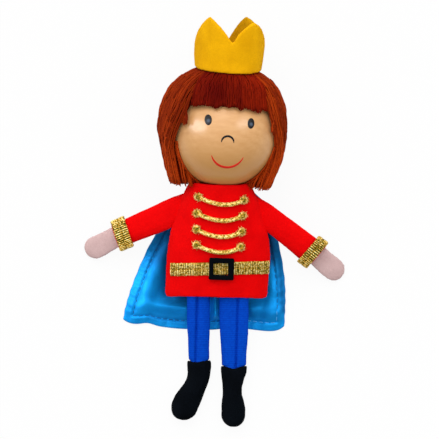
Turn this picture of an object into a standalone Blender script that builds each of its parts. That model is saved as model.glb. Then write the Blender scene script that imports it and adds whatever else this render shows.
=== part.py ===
"""A finger puppet of a prince, lying on its back as it comes to rest.

The head is a turned wooden ball with a finger hole drilled up from below. Yarn hair and a felt
crown are glued on it, and its face is painted. The felt tunic is a flattened tube that takes the
finger. It carries two sleeves with hands, gold braid and a belt. A satin cape lies behind it, and
two knitted legs with felt boots are sewn inside the front of its hem.
+X is to the viewer's right, +Y runs from the feet to the crown, and +Z is up, out of the face.
"""

import math

import bmesh
import bpy
from mathutils import Matrix, Vector

MM = 0.001

# Clearances between pieces that touch on the real puppet
FIT_GAP = 0.3 * MM
HAIR_GAP = 0.6 * MM
PAINT_GAP = 0.15 * MM

# The puppet is built over this height, and set_down puts its lowest point on it
FLOOR = 0.0

# Turned wooden head
HEAD_DIAMETER = 40 * MM
HOLE_DIAMETER = 15 * MM
HOLE_DEPTH = 17 * MM
HOLE_CHAMFER = 0.6 * MM
HEAD_PITCH = math.radians(9)
HEAD_LEAN = math.radians(4)
HEAD_TURN = math.radians(6.5)

# Painted face, measured up or down from the ball's equator
PAINT_THICKNESS = 0.25 * MM
EYE_WIDTH = 2.5 * MM
EYE_HEIGHT = 3.6 * MM
EYE_SPACING = 15.6 * MM
EYE_RISE = 6.5 * MM
NOSE_WIDTH = 4.0 * MM
NOSE_HEIGHT = 1.8 * MM
NOSE_DROP = 1.0 * MM
NOSE_SHIFT = -0.5 * MM
SMILE_WIDTH = 11.4 * MM
SMILE_DEPTH = 4.2 * MM
SMILE_DROP = 6.4 * MM
BRUSH_WIDTH = 0.6 * MM
BRUSH_TAPER = 0.6

# Yarn hair, laid down from the top of the head
HAIR_THICKNESS = 3.2 * MM
HAIR_TOP_THICKNESS = 5.0 * MM
HAIR_END_THICKNESS = 5.2 * MM
HAIR_DROP = 20.0 * MM
HAIR_DROOP = 5.6 * MM
LOCK_WIDTH = 2.6 * MM
LOCK_DEPTH = 0.7 * MM
LOCK_UNEVENNESS = 0.7 * MM
FRINGE_ANGLE = math.radians(47)
FRINGE_RISE = 12.2 * MM
TEMPLE_ANGLE = math.radians(66)

# Felt, and the crown cut from it
FELT = 1.2 * MM
CROWN_BASE_DIAMETER = 23.8 * MM
CROWN_TOP_DIAMETER = 25.0 * MM
CROWN_POINT_HEIGHTS = [14.2 * MM, 18.6 * MM, 17.4 * MM, 17.8 * MM]
CROWN_POINT_ANGLES = [math.radians(a) for a in (-150, -46, 37, 147)]
CROWN_BACK_VALLEY_HEIGHT = 8.5 * MM
CROWN_VALLEY_HEIGHTS = [9.0 * MM, 11.3 * MM, 9.0 * MM, CROWN_BACK_VALLEY_HEIGHT]

# Felt tunic
TUNIC_LENGTH = 42.3 * MM
TUNIC_NECK_WIDTH = 22 * MM
TUNIC_HEM_WIDTH = 37.0 * MM
TUNIC_HEM_DEPTH = 13.6 * MM
COLLAR_COVER = 1.5 * MM
BODY_LEAN = math.radians(1.8)
HEM_ROUNDING = 1.3 * MM
HEM_PINCH = 1.35

# Arms. Each falls below the level by its own angle, and the cuff and the hand turn off the sleeve's
# line. The sleeve's root is a ring of straight chords against a curved side, so it needs more room.
RING_SIDES = 12
SLEEVE_GAP = 2.7 * FIT_GAP
SHOULDER_DROP = 4.2 * MM
SLEEVE_ROOT_WIDTH = 13.6 * MM
SLEEVE_DEPTH = 5.4 * MM
ARM_FALL = {"left": math.radians(22.5), "right": math.radians(36)}
SLEEVE_LENGTH = {"left": 24.4 * MM, "right": 25.4 * MM}
SLEEVE_END_WIDTH = {"left": 9.2 * MM, "right": 10.0 * MM}
SLEEVE_CUFF_WIDTH = {"left": 9.4 * MM, "right": 10.0 * MM}
CUFF_TURN = {"left": math.radians(-4), "right": math.radians(4.6)}
CUFF_LENGTH = {"left": 5.2 * MM, "right": 4.3 * MM}
HAND_TURN = {"left": math.radians(-0.5), "right": math.radians(3)}
HAND_WIDTH = 8.1 * MM
HAND_DEPTH = 2.3 * MM
HAND_LENGTH = 13.1 * MM
HAND_TUCK = 5.0 * MM

# Gold trim and buckle on the chest, measured down the tunic from the collar
BRAID_SPAN = 15.0 * MM
BRAID_SAG = 2.9 * MM
BRAID_THICKNESS = 1.5 * MM
BRAID_KNOT = 2.7 * MM
BRAID_FIRST_DROP = 4.9 * MM
BRAID_PITCH = 5.9 * MM
BRAID_COUNT = 4
BRAID_TURNS = 6
BRAID_RIPPLE = 0.18
BELT_DROP = 31.6 * MM
BELT_SLOPE = math.radians(1.2)
BELT_WIDTH = 4.6 * MM
BELT_REACH = {"left": 0.71, "right": 0.88}
RIBBON_THICKNESS = 0.6 * MM
BUCKLE_SIZE = 7.9 * MM
BUCKLE_WINDOW = 5.0 * MM
BUCKLE_THICKNESS = 1.1 * MM
BUCKLE_OFFSET = 1.4 * MM

# Legs and boots
LEG_OFFSET = {"left": 6.7 * MM, "right": 6.5 * MM}
LEG_WIDTH = {"left": 8.4 * MM, "right": 10.8 * MM}
LEG_ANKLE_WIDTH = {"left": 7.5 * MM, "right": 9.0 * MM}
LEG_ANKLE_SHIFT = {"left": 0.2 * MM, "right": 0.0 * MM}
LEG_LENGTH = {"left": 23.7 * MM, "right": 25.8 * MM}
LEG_DEPTH = 4.0 * MM
LEG_TUCK = 5.0 * MM
CREASE_DEPTH = 0.5 * MM
BOOT_SHAFT_WIDTH = {"left": 8.4 * MM, "right": 9.1 * MM}
BOOT_WAIST_WIDTH = {"left": 8.0 * MM, "right": 6.8 * MM}
BOOT_WAIST_SHIFT = {"left": 0.4 * MM, "right": -0.6 * MM}
BOOT_FOOT_WIDTH = {"left": 9.8 * MM, "right": 8.8 * MM}
BOOT_LENGTH = {"left": 23.3 * MM, "right": 22.6 * MM}
BOOT_TURN = {"left": math.radians(26), "right": math.radians(1)}
BOOT_DEPTH = 6.0 * MM
BOOT_WALL = 0.8 * MM
BOOT_CUFF = 4.5 * MM

# Satin cape, cut as a bell and hemmed
SATIN = 0.5 * MM
CAPE_LENGTH = 52.2 * MM
CAPE_NECK_WIDTH = 27.0 * MM
CAPE_HEM_WIDTH = 58.8 * MM
CAPE_SHIFT = -5.4 * MM
CAPE_NECK_RISE = 6.0 * MM
CAPE_FOLD_HEIGHT = 1.6 * MM
CAPE_FOLDS = 5
CAPE_HEM_FOLD = 2.8 * MM
CAPE_FALL = 0.42
CAPE_FLARE = {"left": 1.38, "right": 3.2}
CAPE_SLANT = 1.9 * MM
CAPE_CORNER = 2.2 * MM
CAPE_WAVE = 0.5 * MM
CAPE_TOP_DROP = 2.0 * MM
CAPE_NECK_SHIFT = -0.3 * MM
CAPE_HEM_LAYERS = 1.8

SIDES = {"left": -1, "right": 1}


def material(name, colour, roughness, metallic=0.0):
    """A plain surface of that colour, given as linear red, green and blue."""
    made = bpy.data.materials.new(name)
    made.use_nodes = True
    shader = made.node_tree.nodes["Principled BSDF"]
    shader.inputs["Base Color"].default_value = (*colour, 1.0)
    shader.inputs["Roughness"].default_value = roughness
    shader.inputs["Metallic"].default_value = metallic
    made.diffuse_color = (*colour, 1.0)
    return made


def finished(name, bm, surface, parent):
    """Turns a bmesh into a named object with its faces out, its round parts smooth and one material."""
    bmesh.ops.remove_doubles(bm, verts=bm.verts, dist=0.001 * MM)
    bmesh.ops.recalc_face_normals(bm, faces=bm.faces)
    mesh = bpy.data.meshes.new(name)
    bm.to_mesh(mesh)
    bm.free()
    mesh.shade_smooth()
    mesh.set_sharp_from_angle(angle=math.radians(50))
    mesh.materials.append(surface)
    made = bpy.data.objects.new(name, mesh)
    bpy.context.scene.collection.objects.link(made)
    made.parent = parent
    return made


def slab(name, columns, rows, place, surface, parent):
    """A closed sheet: a flat grid in u and v, raised by one in w, then laid out by place(u, v, w)."""
    bm = bmesh.new()
    bmesh.ops.create_grid(bm, x_segments=columns, y_segments=rows, size=0.5)
    raised = bmesh.ops.extrude_face_region(bm, geom=bm.faces[:])["geom"]
    corners = [item for item in raised if isinstance(item, bmesh.types.BMVert)]
    bmesh.ops.translate(bm, verts=corners, vec=(0, 0, 1))
    for corner in bm.verts:
        corner.co = place(corner.co.x + 0.5, corner.co.y + 0.5, corner.co.z)
    return finished(name, bm, surface, parent)


def skin(bm, rings):
    """Lays a grid over a row of rings and welds its two long sides, which makes a tube."""
    sides = len(rings[0])
    spans = len(rings) - 1
    bmesh.ops.create_grid(bm, x_segments=sides, y_segments=spans, size=0.5)
    for corner in bm.verts:
        ring = rings[round((corner.co.y + 0.5) * spans)]
        corner.co = ring[round((corner.co.x + 0.5) * sides) % sides]
    bmesh.ops.remove_doubles(bm, verts=bm.verts, dist=0.001 * MM)


def lofted(name, rings, surface, parent):
    """A solid through a row of rings, with flat caps on the first and the last."""
    bm = bmesh.new()
    skin(bm, rings)
    bmesh.ops.holes_fill(bm, edges=bm.edges, sides=len(rings[0]))
    return finished(name, bm, surface, parent)


def mix(start, end, share):
    return start + (end - start) * share


def smooth_step(low, high, value):
    share = min(1.0, max(0.0, (value - low) / (high - low)))
    return share * share * (3 - 2 * share)


# Head frame: the ball's centre, with local Y up to the crown and local Z out of the face

HEAD_RADIUS = HEAD_DIAMETER / 2
HAIR_RADIUS = HEAD_RADIUS + HAIR_THICKNESS
HAIR_TOP = HEAD_RADIUS + HAIR_TOP_THICKNESS
HAIR_ROUNDNESS = 2.4
HAIR_DROOP_CURVE = 1.2
HAIR_EQUATOR = 0.6


def hair_outline(share):
    """Outer radius and height of the hair, from the top of the head at 0 to the ends at 1."""
    if share <= HAIR_EQUATOR:
        angle = share / HAIR_EQUATOR * math.pi / 2
        radius = HAIR_RADIUS * math.sin(angle) ** (2 / HAIR_ROUNDNESS)
        return radius, HAIR_TOP * max(0.0, math.cos(angle)) ** (2 / HAIR_ROUNDNESS)
    fall = (share - HAIR_EQUATOR) / (1 - HAIR_EQUATOR)
    return HAIR_RADIUS - HAIR_DROOP * fall**HAIR_DROOP_CURVE, -HAIR_DROP * fall


def hair_height_at(radius):
    """Height of the hair's top surface at that distance from the axis."""
    share = min(1.0, radius / HAIR_RADIUS)
    return HAIR_TOP * (1 - share**HAIR_ROUNDNESS) ** (1 / HAIR_ROUNDNESS)


def hair_lining(share):
    """Inner radius and height of the hair: it hugs the ball and hangs free of it below."""
    radius, height = hair_outline(share)
    ball = HEAD_RADIUS + HAIR_GAP
    if share <= HAIR_EQUATOR:
        scale = ball / math.hypot(radius, height)
        return radius * scale, height * scale
    hugging = math.sqrt(max(0.0, ball**2 - height**2))
    return max(hugging, radius - HAIR_END_THICKNESS), height


def head_height():
    """Height of the ball's centre when the back of the hair lies on the floor."""
    lowest = 0.0
    for step in range(41):
        radius, height = hair_outline(step / 40)
        lowest = min(lowest, height * math.sin(HEAD_PITCH) - radius * math.cos(HEAD_PITCH))
    return -lowest


HEAD_CENTRE = Vector((0.0, 0.0, head_height()))
HEAD_TILT = Matrix.Rotation(-HEAD_LEAN, 4, "Z") @ Matrix.Rotation(HEAD_PITCH, 4, "X")
HEAD_FRAME = Matrix.Translation(HEAD_CENTRE) @ HEAD_TILT @ Matrix.Rotation(HEAD_TURN, 4, "Y")


def round_head(radius, angle, height):
    """A point round the head's axis. Angle 0 faces forward and grows to the viewer's right."""
    return Vector((radius * math.sin(angle), height, radius * math.cos(angle)))


def wooden_head(surface, parent):
    """The ball, turned about its axis, with the finger hole drilled up from below."""
    rim = HOLE_DIAMETER / 2 + HOLE_CHAMFER
    rim_angle = math.pi - math.asin(rim / HEAD_RADIUS)
    arc_steps = 15
    profile = []
    for step in range(arc_steps + 1):
        angle = rim_angle * step / arc_steps
        profile.append((HEAD_RADIUS * math.sin(angle), HEAD_RADIUS * math.cos(angle)))
    mouth = -math.sqrt(HEAD_RADIUS**2 - rim**2)
    bore = HOLE_DIAMETER / 2
    profile.append((bore, mouth + HOLE_CHAMFER))
    profile.append((bore, mouth + HOLE_DEPTH - bore / 2))
    profile.append((bore / 2, mouth + HOLE_DEPTH))
    profile.append((0.0, mouth + HOLE_DEPTH))
    bm = bmesh.new()
    corners = [bm.verts.new((radius, height, 0.0)) for radius, height in profile]
    edges = [bm.edges.new(pair) for pair in zip(corners, corners[1:])]
    bmesh.ops.spin(
        bm,
        geom=corners + edges,
        cent=(0, 0, 0),
        axis=(0, 1, 0),
        angle=2 * math.pi,
        steps=32,
        use_merge=True,
    )
    return finished("head", bm, surface, parent)


def on_ball(across, height, lift):
    """The point of the ball's front that far across and up, raised by lift."""
    depth = math.sqrt(HEAD_RADIUS**2 - across**2 - height**2)
    return Vector((across, height, depth)) * (1 + lift / HEAD_RADIUS)


def painted_eye(name, side, surface, parent):
    """An upright oval of paint on the ball."""
    bm = bmesh.new()
    bmesh.ops.create_circle(bm, cap_ends=True, cap_tris=True, segments=16, radius=0.5)
    raised = bmesh.ops.extrude_face_region(bm, geom=bm.faces[:])["geom"]
    corners = [item for item in raised if isinstance(item, bmesh.types.BMVert)]
    bmesh.ops.translate(bm, verts=corners, vec=(0, 0, 1))
    for corner in bm.verts:
        across = side * EYE_SPACING / 2 + EYE_WIDTH * corner.co.x
        height = EYE_RISE + EYE_HEIGHT * corner.co.y
        corner.co = on_ball(across, height, PAINT_GAP + PAINT_THICKNESS * corner.co.z)
    return finished(name, bm, surface, parent)


def painted_arc(name, width, depth, drop, shift, way, surface, parent):
    """A brush stroke along an arc of that width and depth, bowed up or down, with tapered ends."""
    radius = (width**2 / 4 + depth**2) / (2 * depth)
    half_angle = math.atan2(width / 2, radius - depth)
    centre = -drop + way * (depth - radius)

    def place(u, v, w):
        angle = half_angle * (2 * u - 1)
        stroke = BRUSH_WIDTH * (1 - BRUSH_TAPER * abs(2 * u - 1) ** 4)
        reach = radius + stroke * (v - 0.5)
        height = centre + way * reach * math.cos(angle)
        return on_ball(shift + reach * math.sin(angle), height, PAINT_GAP + PAINT_THICKNESS * w)

    return slab(name, 14, 1, place, surface, parent)


def lock_end(index):
    """How much shorter than the longest one lock is: an even mix that repeats on every run."""
    return LOCK_UNEVENNESS * (0.5 + 0.5 * math.sin(index * 2.4) * math.cos(index * 0.9))


def yarn_shell(name, first_angle, last_angle, top_share, end_share, rows, surface, parent):
    """Locks of yarn side by side, from first_angle to last_angle, each a ridge down the head."""
    swing = abs(last_angle(0.5) - first_angle(0.5))
    locks = round(swing * HAIR_RADIUS / LOCK_WIDTH)
    columns = 2 * locks

    def place(u, v, w):
        share = mix(top_share, end_share, v)
        index = round(u * columns)
        groove = LOCK_DEPTH if index % 2 == 0 else 0.0
        outside = hair_outline(share)
        inside = hair_lining(share)
        radius = mix(inside[0], outside[0] - groove * min(1.0, 4 * share), w)
        height = mix(inside[1], outside[1], w)
        height += lock_end(index) * smooth_step(0.7, 1.0, v)
        angle = mix(first_angle(share), last_angle(share), u)
        return round_head(radius, angle, height)

    return slab(name, columns, rows, place, surface, parent)


def share_at_height(height):
    """How far down the hair lies that height above the equator."""
    cosine = (height / HAIR_TOP) ** (HAIR_ROUNDNESS / 2)
    return HAIR_EQUATOR * math.acos(cosine) / (math.pi / 2)


def yarn_hair(surface, parent):
    """The bowl of hair over the sides and back, and the shorter fringe over the forehead."""
    top_share = 0.06
    fringe_share = share_at_height(FRINGE_RISE)
    parting = FIT_GAP / HEAD_RADIUS

    def temple(share):
        return mix(FRINGE_ANGLE, TEMPLE_ANGLE, smooth_step(fringe_share, 0.75, share))

    yarn_shell(
        "fringe",
        lambda share: -FRINGE_ANGLE + parting,
        lambda share: FRINGE_ANGLE - parting,
        top_share,
        fringe_share,
        5,
        surface,
        parent,
    )
    yarn_shell(
        "hair",
        lambda share: temple(share) + parting,
        lambda share: 2 * math.pi - temple(share) - parting,
        top_share,
        1.0,
        8,
        surface,
        parent,
    )


def felt_crown(surface, parent):
    """A strip of felt cut into points and bent to a ring, with its ends butted behind."""
    angles = CROWN_POINT_ANGLES + [CROWN_POINT_ANGLES[0] + 2 * math.pi]
    butt_angle = mix(angles[-2] - 2 * math.pi, angles[0], 0.5)
    marks = [(butt_angle, CROWN_BACK_VALLEY_HEIGHT)]
    for index, (point, valley) in enumerate(zip(CROWN_POINT_HEIGHTS, CROWN_VALLEY_HEIGHTS)):
        marks.append((angles[index], point))
        marks.append((mix(angles[index], angles[index + 1], 0.5), valley))
    flanks = len(marks) - 1
    flank_steps = 5
    butt = FIT_GAP / CROWN_BASE_DIAMETER
    base_height = hair_height_at(CROWN_BASE_DIAMETER / 2 - FELT) + FIT_GAP

    def edge(u):
        """Angle and height of the cut edge."""
        flank = min(flanks - 1, int(u * flanks + 1e-6))
        share = u * flanks - flank
        (angle, height), (next_angle, next_height) = marks[flank], marks[flank + 1]
        rise = 1 - share**1.3 if height > next_height else 1 - (1 - share) ** 1.3
        low, high = sorted((height, next_height))
        return mix(angle, next_angle, share), mix(low, high, rise)

    def place(u, v, w):
        angle, height = edge(u)
        if u < 0.001:
            angle += butt
        if u > 0.999:
            angle -= butt
        diameter = mix(CROWN_BASE_DIAMETER, CROWN_TOP_DIAMETER, math.sin(v * math.pi * 0.6))
        return round_head(diameter / 2 - FELT * (1 - w), angle, base_height + height * v)

    return slab("crown", flanks * flank_steps, 4, place, surface, parent)


# Tunic frame: the collar hugs the ball's underside and the hem lies on the cape

HEAD_AXIS = (HEAD_TILT @ Vector((0, 1, 0))).normalized()
COLLAR_CENTRE = HEAD_CENTRE - HEAD_AXIS * (HEAD_RADIUS - COLLAR_COVER)
COLLAR_BALL_RADIUS = math.sqrt(HEAD_RADIUS**2 - (HEAD_RADIUS - COLLAR_COVER) ** 2)
COLLAR_HALF_DEPTH = COLLAR_BALL_RADIUS + FIT_GAP + FELT
HEM_HALF_DEPTH = TUNIC_HEM_DEPTH / 2
HEM_CENTRE = Vector(
    (
        COLLAR_CENTRE.x - TUNIC_LENGTH * math.sin(BODY_LEAN),
        COLLAR_CENTRE.y - TUNIC_LENGTH * math.cos(BODY_LEAN),
        SATIN + 2 * FIT_GAP + HEM_HALF_DEPTH,
    )
)


def tunic_middle(down):
    """Centre of the tunic that share of the way down it, from the collar at 0 to the hem at 1."""
    return COLLAR_CENTRE.lerp(HEM_CENTRE, down)


def tunic_half_width(down):
    flare = 1 - (1 - min(1.0, down)) ** 3
    return mix(TUNIC_NECK_WIDTH, TUNIC_HEM_WIDTH, flare) / 2


def tunic_half_depth(down):
    return mix(COLLAR_HALF_DEPTH, HEM_HALF_DEPTH, min(1.0, down))


def down_at(point):
    """The share of the way down the tunic that a point on its outside lies at."""
    slope = (point.x - tunic_middle(0.5).x) * math.tan(BODY_LEAN)
    level = (COLLAR_CENTRE.y - point.y - slope) / (COLLAR_CENTRE.y - HEM_CENTRE.y)
    shear = (point.z - tunic_middle(level).z) * math.tan(HEAD_PITCH) * (1 - level)
    return level - shear / (COLLAR_CENTRE.y - HEM_CENTRE.y)


def tunic_pinch(down):
    """How sharply the tunic closes at its sides: a round tube at the collar, a lens at the hem."""
    return mix(1.0, HEM_PINCH, down)


def tunic_point(across, down, lift, facing):
    """A point of the tunic's outside, across from -1 to 1 between its seams. Facing is 1 in front.

    Lift raises it from the cloth, or sinks it into the cloth where it is below zero.
    """
    angle = across * math.pi / 2
    middle = tunic_middle(down)
    width = (tunic_half_width(down) + lift) * math.sin(angle)
    depth = facing * (tunic_half_depth(down) + lift) * max(0.0, math.cos(angle)) ** tunic_pinch(down)
    shear = math.tan(HEAD_PITCH) * (1 - down)
    rounding = HEM_ROUNDING * abs(across) ** 12 * max(0.0, down) ** 12
    return middle + Vector((width, rounding - width * math.tan(BODY_LEAN) - depth * shear, depth))


def tunic_panel(name, facing, surface, parent):
    """The front or the back of the tunic, from seam to seam."""

    def place(u, v, w):
        point = tunic_point(2 * u - 1, v, -FELT * (1 - w), facing)
        seam = tunic_middle(v).z + facing * FIT_GAP / 2
        point.z = max(point.z, seam) if facing > 0 else min(point.z, seam)
        return point

    return slab(name, 14, 9, place, surface, parent)


def across_at(offset, down):
    """The share across the front panel that lies that far from the tunic's middle line."""
    return math.asin(max(-1.0, min(1.0, offset / tunic_half_width(down)))) * 2 / math.pi


def on_front(offset, drop, lift):
    """A point of the front panel, that far from the middle line and down from the collar."""
    down = drop / TUNIC_LENGTH
    return tunic_point(across_at(offset, down), down, lift, 1)


def chest_braid(name, drop, surface, parent):
    """A twisted gold cord swagged across the chest, with a knot at each end."""
    stations = 24
    sides = 6
    cord = BRAID_THICKNESS / 2
    knot = BRAID_KNOT / 2
    half_span = BRAID_SPAN / 2 + knot
    blunt_end = cord / 4
    rings = []
    for station in range(stations + 1):
        along = 2 * station / stations - 1
        from_end = (1 - abs(along)) * half_span + blunt_end
        bulb = math.sqrt(max(0.0, 1 - ((from_end - knot) / knot) ** 2)) * knot
        thickness = max(bulb, cord * (from_end > knot))
        centre_offset = along * half_span
        sag = BRAID_SAG * (1 - along**2)
        lift = FIT_GAP + knot
        twist = BRAID_TURNS * math.pi * along
        centre = on_front(centre_offset, drop + sag, lift)
        ring = []
        for side in range(sides):
            angle = 2 * math.pi * side / sides
            ripple = 1 + BRAID_RIPPLE * math.cos(2 * angle - twist)
            reach = thickness * ripple
            ring.append(centre + Vector((0, reach * math.cos(angle), reach * math.sin(angle))))
        rings.append(ring)
    return lofted(name, rings, surface, parent)


def gold_belt(surface, parent):
    """A ribbon across the front panel, just short of both seams."""

    def place(u, v, w):
        across = mix(-BELT_REACH["left"], BELT_REACH["right"], u)
        rise = TUNIC_HEM_WIDTH * (u - 0.5) * math.tan(BELT_SLOPE + BODY_LEAN)
        down = (BELT_DROP - rise + BELT_WIDTH * (0.5 - v)) / TUNIC_LENGTH
        return tunic_point(across, down, FIT_GAP + RIBBON_THICKNESS * w, 1)

    return slab("belt", 16, 1, place, surface, parent)


def felt_buckle(surface, parent):
    """A square of black felt with a window, laid over the ribbon."""
    bm = bmesh.new()
    bmesh.ops.create_grid(bm, x_segments=3, y_segments=3, size=0.5)
    window = [face for face in bm.faces if face.calc_center_median().length < 0.1]
    bmesh.ops.delete(bm, geom=window, context="FACES_ONLY")
    raised = bmesh.ops.extrude_face_region(bm, geom=bm.faces[:])["geom"]
    corners = [item for item in raised if isinstance(item, bmesh.types.BMVert)]
    bmesh.ops.translate(bm, verts=corners, vec=(0, 0, 1))
    lift = FIT_GAP + RIBBON_THICKNESS + FIT_GAP
    for corner in bm.verts:
        place = [BUCKLE_SIZE * c if abs(c) > 0.4 else BUCKLE_WINDOW * c * 3 for c in corner.co.xy]
        offset = BUCKLE_OFFSET + place[0]
        corner.co = on_front(offset, BELT_DROP - place[1], lift + BUCKLE_THICKNESS * corner.co.z)
    return finished("buckle", bm, surface, parent)


# Arms


def side_seam(side, drop):
    """A point of the side seam, that far down the tunic."""
    return tunic_point(side, drop / TUNIC_LENGTH, 0.0, 1)


def flat_ring(centre, along, half_width, half_depth, hand=1, sides=RING_SIDES):
    """A flattened ring square to the direction along, wide in plan and thin in height."""
    wide = Vector((-along.y, along.x, 0)).normalized() * hand
    ring = []
    for step in range(sides):
        angle = 2 * math.pi * step / sides
        lift = Vector((0, 0, half_depth * math.sin(angle)))
        ring.append(centre + wide * half_width * math.cos(angle) + lift)
    return ring


def plan_direction(side, fall):
    """The level direction to that side, turned down the picture by the angle fall."""
    return Vector((side * math.cos(fall), -math.sin(fall), 0))


def arm_line(hand):
    """Start and end of a sleeve's middle line, the tip of the hand, and the cuff's direction."""
    side = SIDES[hand]
    start = (side_seam(side, SHOULDER_DROP) + side_seam(side, SHOULDER_DROP + SLEEVE_ROOT_WIDTH)) / 2
    heading = plan_direction(side, ARM_FALL[hand])
    hand_heading = plan_direction(side, ARM_FALL[hand] + HAND_TURN[hand])
    end = start + heading * SLEEVE_LENGTH[hand]
    tip = end + hand_heading * HAND_LENGTH
    tip.z = FLOOR + HAND_DEPTH / 2
    end.z = mix(start.z, tip.z, SLEEVE_LENGTH[hand] / (SLEEVE_LENGTH[hand] + HAND_LENGTH))
    return start, end, tip, plan_direction(side, ARM_FALL[hand] + CUFF_TURN[hand])


def sleeve_root(hand):
    """The sleeve's ring where it meets the tunic, along the side seam and one gap clear of it."""
    side = SIDES[hand]
    upper = side_seam(side, SHOULDER_DROP)
    lower = side_seam(side, SHOULDER_DROP + SLEEVE_ROOT_WIDTH)
    centre = (upper + lower) / 2
    ring = []
    for step in range(RING_SIDES):
        angle = 2 * math.pi * step / RING_SIDES
        point = centre + (upper - lower) / 2 * math.cos(angle)
        point.z += SLEEVE_DEPTH / 2 * math.sin(angle)
        down = down_at(point)
        middle = tunic_middle(down)
        height = min(1.0, abs(point.z - middle.z) / tunic_half_depth(down))
        cosine = math.cos(math.asin(height ** (1 / tunic_pinch(down))))
        point.x = middle.x + side * (tunic_half_width(down) * cosine + SLEEVE_GAP)
        ring.append(point)
    return ring


def cuff_ring(hand, back, grow=0.0):
    """A ring of the sleeve parallel to its open end, that far back from it, grown by that much."""
    start, end, _, cuff_heading = arm_line(hand)
    centre = end.lerp(start, back / SLEEVE_LENGTH[hand])
    width = mix(SLEEVE_END_WIDTH[hand], SLEEVE_CUFF_WIDTH[hand], back / CUFF_LENGTH[hand])
    return flat_ring(centre, cuff_heading, width / 2 + grow, SLEEVE_DEPTH / 2 + grow, SIDES[hand])


def sleeve(hand, surface, parent):
    """A felt sleeve from the side seam, with a pocket in its end for the hand."""
    root = sleeve_root(hand)
    gathered = cuff_ring(hand, CUFF_LENGTH[hand])
    stations = 3
    rings = []
    for step in range(stations + 1):
        rings.append([mix(a, b, step / stations) for a, b in zip(root, gathered)])
    rings.append(cuff_ring(hand, 0.0))
    rings.append(cuff_ring(hand, 0.0, -FELT))
    rings.append(cuff_ring(hand, HAND_TUCK, -FELT))
    return lofted(f"sleeve_{hand}", rings, surface, parent)


def cuff(hand, surface, parent):
    """A gold ribbon round the end of the sleeve."""
    length = CUFF_LENGTH[hand]
    outside = FIT_GAP + RIBBON_THICKNESS
    steps = ((length, FIT_GAP), (length, outside), (0.0, outside), (0.0, FIT_GAP), (length, FIT_GAP))
    bm = bmesh.new()
    skin(bm, [cuff_ring(hand, back, grow) for back, grow in steps])
    return finished(f"cuff_{hand}", bm, surface, parent)


def felt_hand(hand, surface, parent):
    """A flat mitten of pale felt, tucked into the sleeve and rounded at its tip."""
    _, end, tip, _ = arm_line(hand)
    run = (tip - end).normalized()
    half_width = HAND_WIDTH / 2
    half_depth = HAND_DEPTH / 2
    tucked_width = SLEEVE_END_WIDTH[hand] / 2 - FELT - 1.3 * FIT_GAP
    tuck = HAND_TUCK - 3 * FIT_GAP
    length = (tip - end).length
    tip_length = 1.15 * half_width
    round_start = length - tip_length
    sections = [(-tuck, tucked_width, half_depth), (0.0, tucked_width, half_depth)]
    sections.append((2 * FIT_GAP, mix(tucked_width, half_width, 0.7), half_depth))
    sections.append((round_start, half_width, half_depth))
    rounding = 6
    for step in range(1, rounding):
        angle = step / rounding * math.pi / 2
        along = mix(round_start, length, math.sin(angle))
        sections.append((along, half_width * math.cos(angle), half_depth * math.cos(angle) ** 0.5))
    rings = [flat_ring(end + run * along, run, *size) for along, *size in sections]
    return lofted(f"hand_{hand}", rings, surface, parent)


# Legs and boots

DOWN = Vector((0, -1, 0))


def leg_line(leg):
    """Start inside the hem, hem line and ankle of a leg's middle line."""
    offset = SIDES[leg] * LEG_OFFSET[leg]
    lining = tunic_point(across_at(offset, 1.0), 1.0, -FELT - FIT_GAP, 1).z
    hem = Vector((HEM_CENTRE.x + offset, HEM_CENTRE.y, lining - LEG_DEPTH / 2 - FIT_GAP))
    ankle = hem + DOWN * LEG_LENGTH[leg]
    ankle.x += LEG_ANKLE_SHIFT[leg]
    ankle.z = FLOOR + BOOT_DEPTH / 2
    start = hem - DOWN * LEG_TUCK
    start.z += 3 * FIT_GAP
    return start, hem, ankle


def creased_ring(centre, half_width, half_depth):
    """A flattened ring with a pressed crease down the front of the leg."""
    ring = flat_ring(centre, DOWN, half_width, half_depth, sides=16)
    front = max(ring, key=lambda point: point.z)
    front.z -= CREASE_DEPTH
    return ring


def knitted_leg(leg, surface, parent):
    """A knitted tube sewn inside the hem, pressed flat, ending inside its boot."""
    start, hem, ankle = leg_line(leg)
    half_depth = LEG_DEPTH / 2
    stations = 6
    rings = [creased_ring(start, LEG_WIDTH[leg] / 2, half_depth)]
    for step in range(stations + 1):
        share = step / stations
        width = mix(LEG_WIDTH[leg], LEG_ANKLE_WIDTH[leg], smooth_step(0.3, 1.0, share))
        shown_end = ankle - DOWN * FIT_GAP
        rings.append(creased_ring(hem.lerp(shown_end, share), width / 2, half_depth))
    tucked = BOOT_SHAFT_WIDTH[leg] / 2 - BOOT_WALL - FIT_GAP
    for inside in (0.0, BOOT_CUFF - FIT_GAP):
        rings.append(creased_ring(ankle + DOWN * inside, tucked, half_depth))
    return lofted(f"leg_{leg}", rings, surface, parent)


def boot_width(leg, share):
    """Width of the boot that share of the way from its top to its toe."""
    if share < 0.4:
        return mix(BOOT_SHAFT_WIDTH[leg], BOOT_WAIST_WIDTH[leg], smooth_step(0.1, 0.4, share))
    return mix(BOOT_WAIST_WIDTH[leg], BOOT_FOOT_WIDTH[leg], smooth_step(0.4, 0.7, share))


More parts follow.
